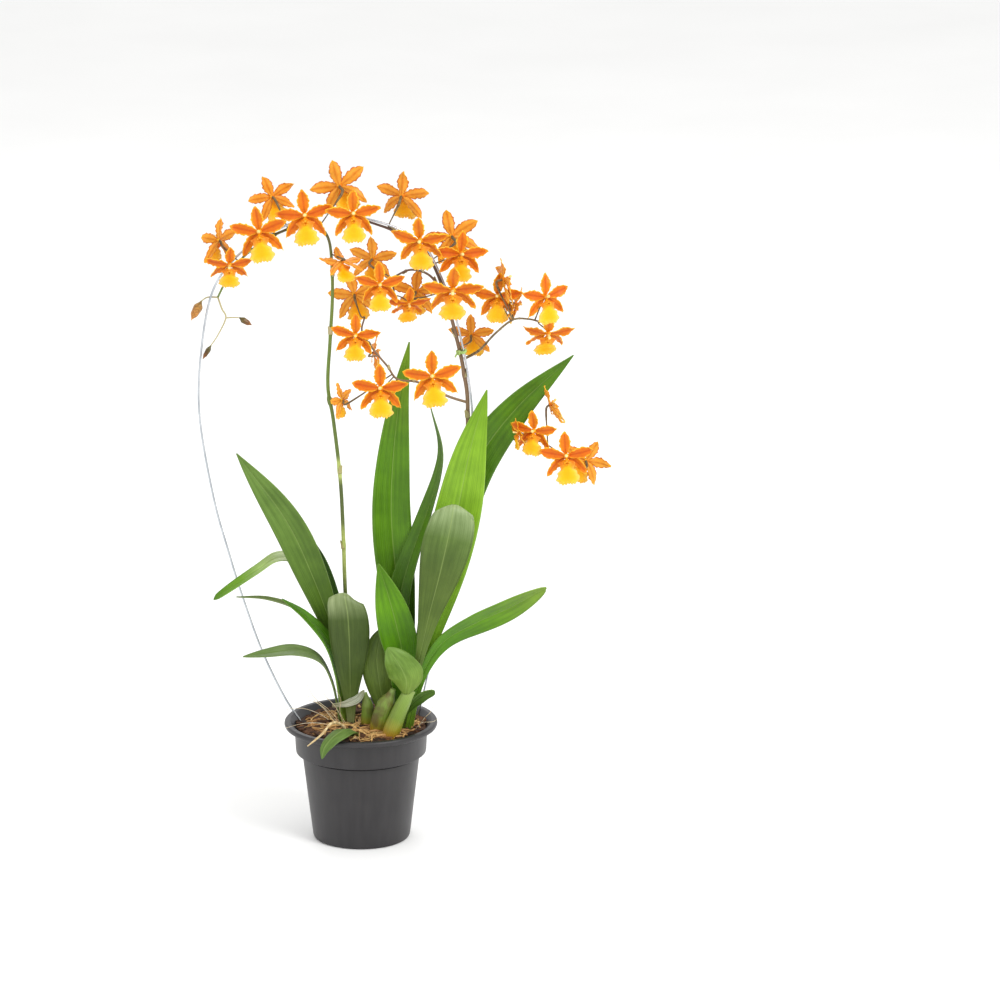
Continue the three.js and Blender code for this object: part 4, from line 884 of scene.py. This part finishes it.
def bud_finish():
    """A closed bud: waxy, olive at its foot, through rust to orange at its tip, finely specked."""
    material, tree, place = new_finish("closed bud", roughness=0.42, ior=1.4)
    parts = add(tree, "SeparateXYZ", {"Vector": add(tree, "UVMap", uv_map="UVMap")})
    young = add(tree, "ValToRGB", {"Fac": parts.outputs["Y"]}, stops=[
        (0.0, "#56552c"), (0.3, "#5c5228"), (0.6, "#6e4a24"), (0.85, "#96602c"), (1.0, "#b07c38")])
    ripe = add(tree, "ValToRGB", {"Fac": parts.outputs["Y"]}, stops=[
        (0.0, "#7a6a30"), (0.3, "#a87a38"), (0.6, "#c08440"), (0.85, "#d08c3c"), (1.0, "#dca24c")])
    tint = add(tree, "Attribute", attribute_name="tint").outputs["Fac"]
    tone = add(tree, "MixRGB", {"Fac": tint, "Color1": young, "Color2": ripe})
    # specks a little over 1 mm across
    spots = add(tree, "TexNoise", {"Vector": place, "Scale": 700.0, "Detail": 3.0})
    speck = add(tree, "ValToRGB", {"Fac": spots}, stops=[(0.4, "#8a7a68"), (0.6, "#ffffff")])
    mixed = add(tree, "MixRGB", {"Fac": 0.6, "Color1": tone, "Color2": speck}, blend_type="MULTIPLY")
    return dressed(material, mixed)


def folded(share, around):
    """A bud's five folded petals make shallow ribs round it."""
    return 1 + 0.07 * math.cos(5 * around + 2 * share)


left_spike = spike([("leftSpike", LEFT_JOINTS)])
for points, radii in BUD_STALKS:
    stalk(left_spike, route(points), radii, 10, 40, slot=1)
for foot, tip, radius, ripeness in BUDS:
    bud = stalk(left_spike, route([foot, tip]), [0.6, radius, 0.85 * radius, 0.3], 20, 20, slot=2,
                swell=folded)
    tinted(left_spike, bud, ripeness)
bmesh.ops.recalc_face_normals(left_spike, faces=left_spike.faces)
piece("left_spike_stem", left_spike, [left_skin, bract_skin, bud_finish()], ["left_spike"])

right_spike = spike([("rightSpike", RIGHT_JOINTS), ("centre", BRANCH_JOINTS), ("inner", BRANCH_JOINTS)])
piece("right_spike_stem", right_spike, [right_skin, bract_skin], ["right_spike"])

# Ties: soft green rubber-covered twist ties. Each is wound twice round wire and spike, twisted
# shut on the front, and its two ends stick out.

TIE_RADIUS = 0.75
TIES = {"tie_left": ("leftSpike", 0.91), "tie_top": ("rightSpike", 0.955), "tie_right": ("rightSpike", 0.66)}
# half the room for the spike, and what a loop then stands off by
SPIKE_ROOM = 1.7
TIE_ROOM = 0.9
TIE_HALF_DEPTH = 2.6
TIE_WINDS = 2
TIE_PITCH = 1.5
TIE_STEPS = 48
KNOT_OUT = 3.2
TWIST_RADIUS = 1.1
# the two ends, by steps out of the knot, across it and along the spike
TIE_ENDS = [
    [(0, 0.6, 0), (1.6, 1.4, 0.8), (2, 3.4, 2.4)],
    [(0, -0.6, 0), (1.6, -1.2, -0.8), (2.4, -2.6, -2.8)],
]


def soft_rubber():
    """Foam rubber sleeve: matt, light green, with fine pores."""
    material, tree, place = new_finish("soft rubber sleeve", roughness=0.8)
    # pores about 0.7 mm across
    pores = add(tree, "TexNoise", {"Vector": place, "Scale": 1500.0, "Detail": 3.0})
    tone = add(tree, "ValToRGB", {"Fac": pores}, stops=[(0.3, "#8fae5c"), (0.7, "#a9c87a")])
    bump = add(tree, "Bump", {"Height": pores.outputs["Fac"], "Strength": 0.4, "Distance": 0.1 * MM})
    return dressed(material, tone, bump)


def nearest(line, target):
    """The share of a route's length that lies nearest to a place, and the place there."""
    best = min(range(len(line)), key=lambda index: (line[index] - target).length)
    return best / (len(line) - 1), line[best]


sleeve = soft_rubber()
for name, (stem_name, share) in TIES.items():
    inside, axis = along(STEMS[stem_name][0], share)
    to_wire = nearest(wire_line, inside)[1] - inside
    to_wire -= axis * to_wire.dot(axis)
    apart = to_wire.length / MM
    wide = to_wire.normalized()
    side = axis.cross(wide)
    if side.y > 0:
        side = -side
    half = (SPIKE_ROOM + apart + WIRE_RADIUS) / 2 + TIE_ROOM
    centre = inside / MM + wide * ((apart + WIRE_RADIUS - SPIKE_ROOM) / 2)
    loops = []
    for step in range(TIE_STEPS + 1):
        turn = TIE_WINDS * math.tau * step / TIE_STEPS
        loops.append(centre + wide * (half * math.cos(turn)) + side * (TIE_HALF_DEPTH * math.sin(turn))
                     + axis * (TIE_PITCH * (step / TIE_STEPS - 0.5)))
    knot = centre + side * KNOT_OUT
    tie = blank()
    stalk(tie, route(loops, 240), [TIE_RADIUS, TIE_RADIUS], 10, 140)
    for steps in TIE_ENDS:
        end = [knot + side * out + wide * across + axis * up for out, across, up in steps]
        stalk(tie, route(end), [TIE_RADIUS, TIE_RADIUS, 0.8 * TIE_RADIUS], 10, 16)
    twist = [knot + wide * (TWIST_RADIUS * math.cos(step)) + axis * (TWIST_RADIUS * math.sin(step))
             + side * (0.25 * step - 0.7) for step in range(8)]
    stalk(tie, route(twist), [TIE_RADIUS, TIE_RADIUS], 10, 40)
    bmesh.ops.recalc_face_normals(tie, faces=tie.faces)
    piece(name + "_sleeve", tie, [sleeve], [name])

# Flowers: three narrow sepals and two petals, thin, waxy and rust-orange with ruffled golden
# edges, behind a broad yellow lip with a toothed crest. A cream column stands over the crest,
# and a dark ovary and a thread-thin stalk join each flower to its stem.

TEPAL_COLUMNS = 12
TEPAL_ROWS = 26
LIP_COLUMNS = 22
LIP_ROWS = 30
TEPAL_THICKNESS = 0.5
# length, half width, how far out of the face it starts and how much it is cupped
PETAL = (22, 4.8, 0.6, 0.16)
DORSAL = (20, 4.7, -0.8, 0.18)
SEPAL = (22, 4, -0.8, 0.2)
LIP_LINE = [(0, -0.8, 0.9), (0, -4, 4.6), (0, -10, 6.2), (0, -17, 6), (0, -24, 7.5)]
LIP_HALF_WIDTHS = [0.9, 7.4, 5.4, 8.4, 9.8, 7]
CLAW_START = 1.2
# the crest's five blunt teeth, each by its place and radius
CREST_TEETH = [
    (0, -3.2, 5.4, 1.3), (-1.5, -4, 5.6, 1), (1.5, -4, 5.6, 1), (-0.8, -5.6, 6.4, 0.8), (0.8, -5.6, 6.4, 0.8),
]
COLUMN_ARM = ([(0, 0.2, 0.4), (0, 1.2, 3.6), (0, 2.5, 6.6)], [1.0, 1.0, 1.15, 1.2, 0.8])
COLUMN_CAP = ([(0, 2, 5.4), (0, 2.4, 6.6), (0, 2.5, 7.9)], [0.9, 1.35, 1.4, 1.05, 0.3])
HEART = ([(0, 0, -1.6), (0, 0, 0), (0, 0, 1.6)], [2.0, 2.5, 2.1])
OVARY = [(0, 0, -0.8), (0, -0.4, -3), (0, -4.5, -7)]
OVARY_RADIUS = 1.15
# a stalk goes into its stem, runs straight before it and keeps off a wire that is near
STALK_DEPTH = 0.4
STALK_STRAIGHT = 3
WIRE_NEAR = 6
PETAL_FLESH = {"Subsurface Weight": 0.08, "Subsurface Scale": 1.2 * MM, "Specular IOR Level": 0.3}

# centre, turn to the right, up, lean to its own right (degrees), scale and the stem it hangs on
BLOOMS = {
    "bloom_crown_back": ((-14, 22, 518), 180, 2, 21, 1, "leftSpike"),
    "bloom_crown_left": ((-40, -13, 503), 4, -5, -4, 0.97, "leftSpike"),
    "bloom_crown_right": ((-3, -16, 505), 5, -5, -2, 0.93, "rightSpike"),
    "bloom_spidery": ((34, 10, 513), 157, 12, -4, 0.95, "rightSpike"),
    "bloom_shoulder_front": ((48, -24, 486), -3, -18, -3, 0.98, "rightSpike"),
    "bloom_shoulder_back": ((72, 24, 478), 186, 0, 16, 1, "rightSpike"),
    "bloom_under_shoulder": ((79, -5, 471), 12, -12, 3, 0.93, "rightSpike"),
    "bloom_great": ((73, -28, 448), -1, -28, 1, 1.06, "rightSpike"),
    "bloom_behind_spike": ((87, 26, 399), 168, 2, 4, 0.8, "rightSpike"),
    "bloom_inner_back": ((11, 16, 462), 165, 0, 0, 0.85, "inner"),
    "bloom_inner_front": ((17, -14, 449), 4, -10, 0, 0.87, "inner"),
    "bloom_inner_low": ((39, -4, 432), 9, -37, 1, 0.75, "inner"),
    "bloom_beside_spike": ((44, 20.5, 435), 180, 2, -3, 0.88, "rightSpike"),
    "bloom_hanging": ((-12, -6, 465), 200, -62, 0, 0.78, "leftSpike"),
    "bloom_left_back": ((-3, 14, 434), 180, -8, 11, 0.9, "centre"),
    "bloom_left_front": ((-2, -10, 408), 0, -12, 2, 0.85, "centre"),
    "bloom_left_side": ((12, 15, 388), 100, 0, 0, 0.65, "centre"),
    "bloom_left_low": ((-13, -4, 355), -125, -8, 6, 0.65, "centre"),
    "bloom_centre_front": ((17, -18, 368), 0, -5, -2, 0.96, "centre"),
    "bloom_right_front": ((57, -20, 378), 2, -4, -6, 1, "centre"),
    "bloom_far_left_front": ((-75, -13, 490), 2, -4, -8, 0.98, "leftSpike"),
    "bloom_far_left_back": ((-66, 20, 510), 205, 0, 20, 0.85, "leftSpike"),
    "bloom_end_side": ((-107, 6, 479), -135, 6, 0, 0.85, "leftSpike"),
    "bloom_end_front": ((-98, -12, 464), 3, -32, 1, 0.83, "leftSpike"),
}
RIGHT_SPRAY_BLOOMS = [
    ((112, -6, 451), 102, 4, -8, 0.82, "rightSpray"), ((107, -2, 437), -4, -6, 0, 0.87, "rightSpray"),
    ((121, -2, 431), 95, -30, 0, 0.65, "rightSpray"), ((144, -14, 439), 24, 0, -3, 0.87, "rightSpray"),
    ((146, -4, 408), 8, -42, 4, 0.9, "rightSpray"),
]
LOWER_SPRAY_BLOOMS = [
    ((148, -6, 352), 105, 22, 0, 0.75, "lowerSpray"), ((135, -10, 332), -14, -10, 4, 0.82, "lowerSpray"),
    ((123, -8, 330), -70, -10, 0, 0.55, "lowerSpray"), ((160, -14, 313), 2, -4, -5, 0.93, "lowerSpray"),
    ((176, 12, 302), 178, 0, -26, 0.85, "lowerSpray"),
]
# each spray's own name, stem, flowers and the first of their seeds
SPRAYS = [
    ("right_spray", "rightSpray", RIGHT_SPRAY_BLOOMS, 31),
    ("lower_spray", "lowerSpray", LOWER_SPRAY_BLOOMS, 41),
]


def tepal_skin(name, heart, body, edge, rim, vein, depth):
    """Petal skin: waxy, finely veined lengthwise, paler to its ruffled edge, yellow at its tip."""
    material, tree, place = new_finish(name, roughness=0.42, ior=1.4)
    tint = add(tree, "Attribute", attribute_name="tint").outputs["Fac"]
    flat = add(tree, "UVMap", uv_map="UVMap")
    parts = add(tree, "SeparateXYZ", {"Vector": flat})
    away = off_middle(tree, parts)
    # the edge's gold runs in by an uneven amount, in patches of about 4 mm
    blotch = add(tree, "TexNoise", {"Vector": place, "Scale": 260.0, "Detail": 4.0})
    uneven = add(tree, "Math", {0: blotch.outputs["Fac"], 1: 0.22, 2: away}, operation="MULTIPLY_ADD")
    across = add(tree, "ValToRGB", {"Fac": uneven}, stops=[
        (0.1, heart), (0.28, body), (0.45, body), (0.53, edge), (0.59, rim)])
    warm = add(tree, "ValToRGB", {"Fac": tint}, stops=[(0.0, "#ffffff"), (1.0, "#ffd9a8")])
    toned = add(tree, "MixRGB", {"Fac": 0.6, "Color1": across, "Color2": warm}, blend_type="MULTIPLY")
    tip = add(tree, "ValToRGB", {"Fac": parts.outputs["Y"]}, stops=[
        (0.0, "#b0b0b0"), (0.1, "#000000"), (0.86, "#000000"), (0.98, "#e0e0e0")])
    tipped = add(tree, "MixRGB", {"Fac": tip, "Color1": toned, "Color2": linear("#f4b21c")})
    # veins about 0.7 mm apart that fan a little and wander
    wander = add(tree, "TexNoise", {"Vector": place, "Scale": 180.0})
    shift = add(tree, "Math", {0: wander.outputs["Fac"], 1: 0.12, 2: parts.outputs["X"]},
                operation="MULTIPLY_ADD")
    turns = add(tree, "Math", {0: shift, 1: math.tau * 12}, operation="MULTIPLY")
    wavy = add(tree, "Math", {0: turns}, operation="SINE")
    line = add(tree, "MapRange", {"Value": wavy, "From Min": 0.1, "To Max": depth})
    veined = add(tree, "MixRGB", {"Fac": line, "Color1": tipped, "Color2": linear(vein)})
    bump = add(tree, "Bump", {"Height": wavy, "Strength": 0.2, "Distance": 0.1 * MM})
    return dressed(material, veined, bump, plain=PETAL_FLESH)


def lip_skin():
    """Lip skin: bright yellow, peach-yellow at its frills, golden orange on its shoulders."""
    material, tree, place = new_finish("lip petal", roughness=0.45, ior=1.4)
    parts = add(tree, "SeparateXYZ", {"Vector": add(tree, "UVMap", uv_map="UVMap")})
    away = off_middle(tree, parts)
    blotch = add(tree, "TexNoise", {"Vector": place, "Scale": 300.0, "Detail": 4.0})
    uneven = add(tree, "Math", {0: blotch.outputs["Fac"], 1: 0.14, 2: away}, operation="MULTIPLY_ADD")
    across = add(tree, "ValToRGB", {"Fac": uneven}, stops=[
        (0.08, "#f2aa00"), (0.24, "#f4b002"), (0.4, "#f2b722"), (0.52, "#efc152"), (0.6, "#e8b064")])
    # the orange reaches less far along the lip at its middle than at its sides
    reach = add(tree, "Math", {0: away, 1: -0.4, 2: parts.outputs["Y"]}, operation="MULTIPLY_ADD")
    mark = add(tree, "Math", {0: blotch.outputs["Fac"], 1: 0.1, 2: reach}, operation="MULTIPLY_ADD")
    shoulder = add(tree, "ValToRGB", {"Fac": mark}, stops=[
        (0.0, "#c0c0c0"), (0.12, "#ffffff"), (0.28, "#c8c8c8"), (0.38, "#000000")])
    orange = add(tree, "ValToRGB", {"Fac": away}, stops=[
        (0.05, "#f0a20a"), (0.15, "#e0820c"), (0.38, "#d66a0e"), (0.5, "#e08c24")])
    marked = add(tree, "MixRGB", {"Fac": shoulder, "Color1": across, "Color2": orange})
    # the frill at its end is thin and lets light through, so it looks paler
    thin = add(tree, "ValToRGB", {"Fac": parts.outputs["Y"]}, stops=[(0.74, "#000000"), (1.0, "#909090")])
    tone = add(tree, "MixRGB", {"Fac": thin, "Color1": marked, "Color2": linear("#f4cc6c")})
    bump = add(tree, "Bump", {"Height": blotch.outputs["Fac"], "Strength": 0.25, "Distance": 0.2 * MM})
    return dressed(material, tone, bump, plain=PETAL_FLESH)


def fleck_skin(name, low, high, roughness):
    """Smooth plant flesh in two near tones, mottled in patches about 3 mm across."""
    material, tree, place = new_finish(name, roughness=roughness, ior=1.4)
    mottle = add(tree, "TexNoise", {"Vector": place, "Scale": 350.0, "Detail": 3.0})
    tone = add(tree, "ValToRGB", {"Fac": mottle}, stops=[(0.35, low), (0.65, high)])
    bump = add(tree, "Bump", {"Height": mottle.outputs["Fac"], "Strength": 0.2, "Distance": 0.1 * MM})
    return dressed(material, tone, bump)


FLOWER_SKINS = [
    tepal_skin("petal face", "#bc5206", "#d2700a", "#e89816", "#f8c430", "#a03c04", 0.38),
    tepal_skin("sepal face", "#c45e0a", "#da7e10", "#ec9e1c", "#f8c834", "#a84a08", 0.34),
    tepal_skin("sepal back", "#cc7c1c", "#e6a438", "#dc8c28", "#ac4c14", "#b8661c", 0.42),
    lip_skin(),
    fleck_skin("cream column", "#e8c067", "#f3dc96", 0.4),
    fleck_skin("flower stalk", "#57452c", "#7d6a48", 0.5),
    fleck_skin("lip crest", "#d8820c", "#f0a414", 0.45),
]
PETAL_FACE, SEPAL_FACE, SEPAL_BACK, LIP_FACE, CREAM, STALK, CREST = range(7)


def draws(seed):
    """The same run of chances as the frame's flowers have, so each petal lies where it does there."""
    states = 2 ** 32
    state = (seed * 2654435761) % states

    def chance(middle, spread):
        nonlocal state
        state = (state * 1664525 + 1013904223) % states
        return middle + (state / states - 0.5) * spread

    return chance


def tepal_width(v):
    """A sepal's or petal's half width as a share of its widest."""
    return max(0.16 * (1 - v) + 0.93 * math.sin(math.pi * v ** 1.1) ** 0.75, 0.05)


def tepal_lay(form, angle, lift, curl, sweep, twist, phase):
    """Where one sepal's or petal's grid lies in its flower: x right, y up, z out of its face."""
    length, half_width, level, cup = form
    ahead = Vector((math.sin(angle), math.cos(angle), 0))
    side = Vector((math.cos(angle), -math.sin(angle), 0))
    out = Vector((0, 0, 1))

    def lay(u, v):
        width = half_width * tepal_width(v)
        turn = twist * v
        across = out * math.cos(turn) - side * math.sin(turn)
        wide = side * math.cos(turn) + out * math.sin(turn)
        place = ahead * (CLAW_START + length * v) + out * (level + length * (lift * v + curl * v * v))
        place += side * (length * sweep * v * v)
        ruffle = 0.9 * u * math.sin(9 * v + phase) * min(1, 3 * v)
        frill = 0.35 * abs(u) ** 3 * math.sin(27 * v + 5 * phase + 2 * u) * min(1, 4 * v)
        ragged = 1 + (0.08 * math.sin(29 * v + 3 * phase + 4 * u) + 0.05 * math.sin(53 * v + phase)) * abs(u)
        groove = -0.35 * math.exp(-((u / 0.16) ** 2)) * (1 - v)
        return place + wide * (u * width * ragged) + across * (cup * u * u * width + ruffle + frill + groove)

    return lay


lip_line = route(LIP_LINE)


def lip_lay(phase):
    """Where the lip's grid lies: narrow claw, raised shoulders, a waist, then a broad cleft frill."""

    def lay(grid_u, v):
        u = -grid_u
        place, way = along(lip_line, v)
        across = Vector((0, way.z, -way.y))
        end = max(0, v - 0.8) * 5
        width = between(LIP_HALF_WIDTHS, v) * (1 + 0.06 * math.sin(31 * v + phase + u) * abs(u))
        shoulder = 1.6 * math.exp(-(((v - 0.2) / 0.14) ** 2))
        notch = 2.2 * end * (1 - abs(u)) + 2.4 * end * abs(u) ** 4 + 0.6 * end * math.sin(17 * u + phase)
        wave = 0.8 * u * math.sin(8 * v + phase) * v
        frill = 0.8 * v * abs(u) ** 3 * math.sin(29 * v + 6 * u + phase)
        frill += 0.7 * end * math.sin(14 * u + phase)
        return (place / MM + Vector((u * width, 0, 0)) - way * notch
                + across * (-u * u * (1.6 + shoulder) + wave + frill))

    return lay


def flower(mesh, bloom, seed):
    """One whole flower with its stalk. It sits at its own centre, face to +Z, until it is placed."""
    at, turn, up, lean, scale, stem_name = bloom
    chance = draws(seed)
    degree = math.pi / 180
    parts = []

    def grow(front, *shape):
        lay = tepal_lay(*shape)
        parts.extend(blade(mesh, TEPAL_COLUMNS, TEPAL_ROWS, TEPAL_THICKNESS, lay, front, SEPAL_BACK))

    def round_part(shape, sides, rings, slot):
        points, radii = shape
        parts.extend(stalk(mesh, route(points), radii, sides, rings, slot=slot))

    # how each sepal and petal turns, lifts, curls, sweeps and twists: a middle and a spread
    angle, lift, curl = chance(0, 8) * degree, chance(0.12, 0.2), chance(-0.1, 0.3)
    sweep, twist = chance(0, 0.16), chance(0, 0.5)
    grow(SEPAL_FACE, DORSAL, angle, lift, curl, sweep, twist, chance(0, 6))
    for hand in (-1, 1):
        angle, lift, curl = hand * chance(76, 10) * degree, chance(0.12, 0.16), chance(-0.15, 0.24)
        sweep, twist = hand * chance(0.02, 0.12), chance(0, 0.5)
        grow(PETAL_FACE, PETAL, angle, lift, curl, sweep, twist, chance(0, 6))
        angle, lift, curl = hand * chance(124, 8) * degree, chance(-0.04, 0.06), chance(0.05, 0.16)
        sweep, twist = hand * chance(0.26, 0.1), hand * chance(-0.35, 0.3)
        grow(SEPAL_FACE, SEPAL, angle, lift, curl, sweep, twist, chance(0, 6))
    lip = lip_lay(chance(0, 6))
    parts.extend(blade(mesh, LIP_COLUMNS, LIP_ROWS, TEPAL_THICKNESS, lip, LIP_FACE, LIP_FACE))
    for x, y, z, size in CREST_TEETH:
        tooth = [(x, y, z - 1.4), (x, y, z), (x, y + 0.3, z + 0.8)]
        round_part((tooth, [size, size, 0.9 * size, 0.4 * size]), 8, 6, CREST)
    # the column: a cream arm with a rounded cap, and the orange heart behind it
    round_part(COLUMN_ARM, 14, 14, CREAM)
    round_part(COLUMN_CAP, 14, 10, CREAM)
    round_part(HEART, 14, 6, SEPAL_FACE)
    turned = (Matrix.Rotation(turn * degree, 4, "Z") @ Matrix.Rotation((90 - up) * degree, 4, "X")
              @ Matrix.Rotation(-lean * degree, 4, "Z") @ Matrix.Scale(scale, 4))
    placed = Matrix.Translation(Vector(at) * MM) @ turned
    bmesh.ops.transform(mesh, matrix=placed, verts=parts)
    # the stalk dips behind the flower and meets its stem on the side away from the wire
    line, radii = STEMS[stem_name]
    back, dip, bend = [placed @ (Vector(point) * MM) for point in OVARY]
    share, seat = nearest(line, bend)
    way = along(line, share)[1]
    away = bend - seat
    away = (away - way * away.dot(way)).normalized()
    to_wire = nearest(wire_line, seat)[1] - seat
    if to_wire.length < WIRE_NEAR * MM:
        to_wire.normalize()
        away = (away - to_wire * max(0, away.dot(to_wire))).normalized()
    reach = (between(radii, share) - STALK_DEPTH) * MM
    points = [back, dip, bend, seat + away * (reach + STALK_STRAIGHT * MM), seat + away * reach]
    ovary = OVARY_RADIUS * scale
    round_part(([point / MM for point in points], [ovary, ovary, 0.6, 0.5, 0.6]), 9, 26, STALK)
    tinted(mesh, parts, chance(0.4, 0.8))


for seed, (name, bloom) in enumerate(BLOOMS.items(), 1):
    mesh = blank()
    flower(mesh, bloom, seed)
    piece(name + "_flower", mesh, FLOWER_SKINS, [name])

for name, stem_name, blooms, first_seed in SPRAYS:
    mesh = blank()
    line, radii = STEMS[stem_name]
    stalk(mesh, line, radii, 12, BRANCH_RINGS, slot=STALK, swell=jointed(BRANCH_JOINTS))
    for seed, bloom in enumerate(blooms, first_seed):
        flower(mesh, bloom, seed)
    piece(name + "_flowers", mesh, FLOWER_SKINS, [name])

# The photograph's setting: a plain pale floor, one big soft light from the upper right, a weaker
# one from the left and a bright even surround, seen from far off through a long lens.

FLOOR_HALF_WIDTH = 15
SURROUND = 0.97
LIGHTS_LOOK_AT = (0, 0, 0.3)
LIGHTS = [
    ("key_light", 1.0, 42, (1.5, -1.5, 2.0)), ("fill_light", 1.8, 8, (-1.7, -1.3, 1.2)),
    ("back_light", 1.2, 10, (-0.3, 1.4, 1.7)),
]
CAMERA_PLACE = (0.109, -4.330, 1.499)
CAMERA_DOWN = 15.8
CAMERA_LENS = 208.9


def floor_finish():
    """Matt painted board, nearly white, with a trace of unevenness."""
    material, tree, place = new_finish("matt white board", roughness=0.9, ior=1.45)
    faint = add(tree, "TexNoise", {"Vector": place, "Scale": 4.0, "Detail": 2.0})
    tone = add(tree, "ValToRGB", {"Fac": faint}, stops=[(0.3, "#f4f4f3"), (0.7, "#f7f7f6")])
    return dressed(material, tone)


floor_mesh = bmesh.new()
bmesh.ops.create_grid(floor_mesh, x_segments=2, y_segments=2, size=FLOOR_HALF_WIDTH)
floor_data = bpy.data.meshes.new("floor")
floor_mesh.to_mesh(floor_data)
floor_mesh.free()
floor_data.materials.append(floor_finish())
floor = bpy.data.objects.new("floor", floor_data)
bpy.context.collection.objects.link(floor)
floor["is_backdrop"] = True

for name, size, power, place in LIGHTS:
    lamp = bpy.data.lights.new(name, "AREA")
    lamp.size = size
    lamp.energy = power
    light = bpy.data.objects.new(name, lamp)
    light.location = place
    light.rotation_euler = (Vector(LIGHTS_LOOK_AT) - Vector(place)).to_track_quat("-Z", "Y").to_euler()
    bpy.context.collection.objects.link(light)

world = bpy.data.worlds.new("bright surround")
world.use_nodes = True
world.node_tree.nodes["Background"].inputs["Color"].default_value = (1, 1, 1, 1)
world.node_tree.nodes["Background"].inputs["Strength"].default_value = SURROUND
bpy.context.scene.world = world
bpy.context.scene.view_settings.view_transform = "Standard"

view = bpy.data.cameras.new("camera")
view.lens = CAMERA_LENS
view.sensor_width = 36
view.clip_end = 40
camera = bpy.data.objects.new("camera", view)
camera.location = CAMERA_PLACE
camera.rotation_euler = (math.radians(90 - CAMERA_DOWN), 0, 0)
bpy.context.collection.objects.link(camera)
bpy.context.scene.camera = camera

sizes = {"cad_box": [list(corner) for corner in cad_box], "visual_box": [list(corner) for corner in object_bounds()]}
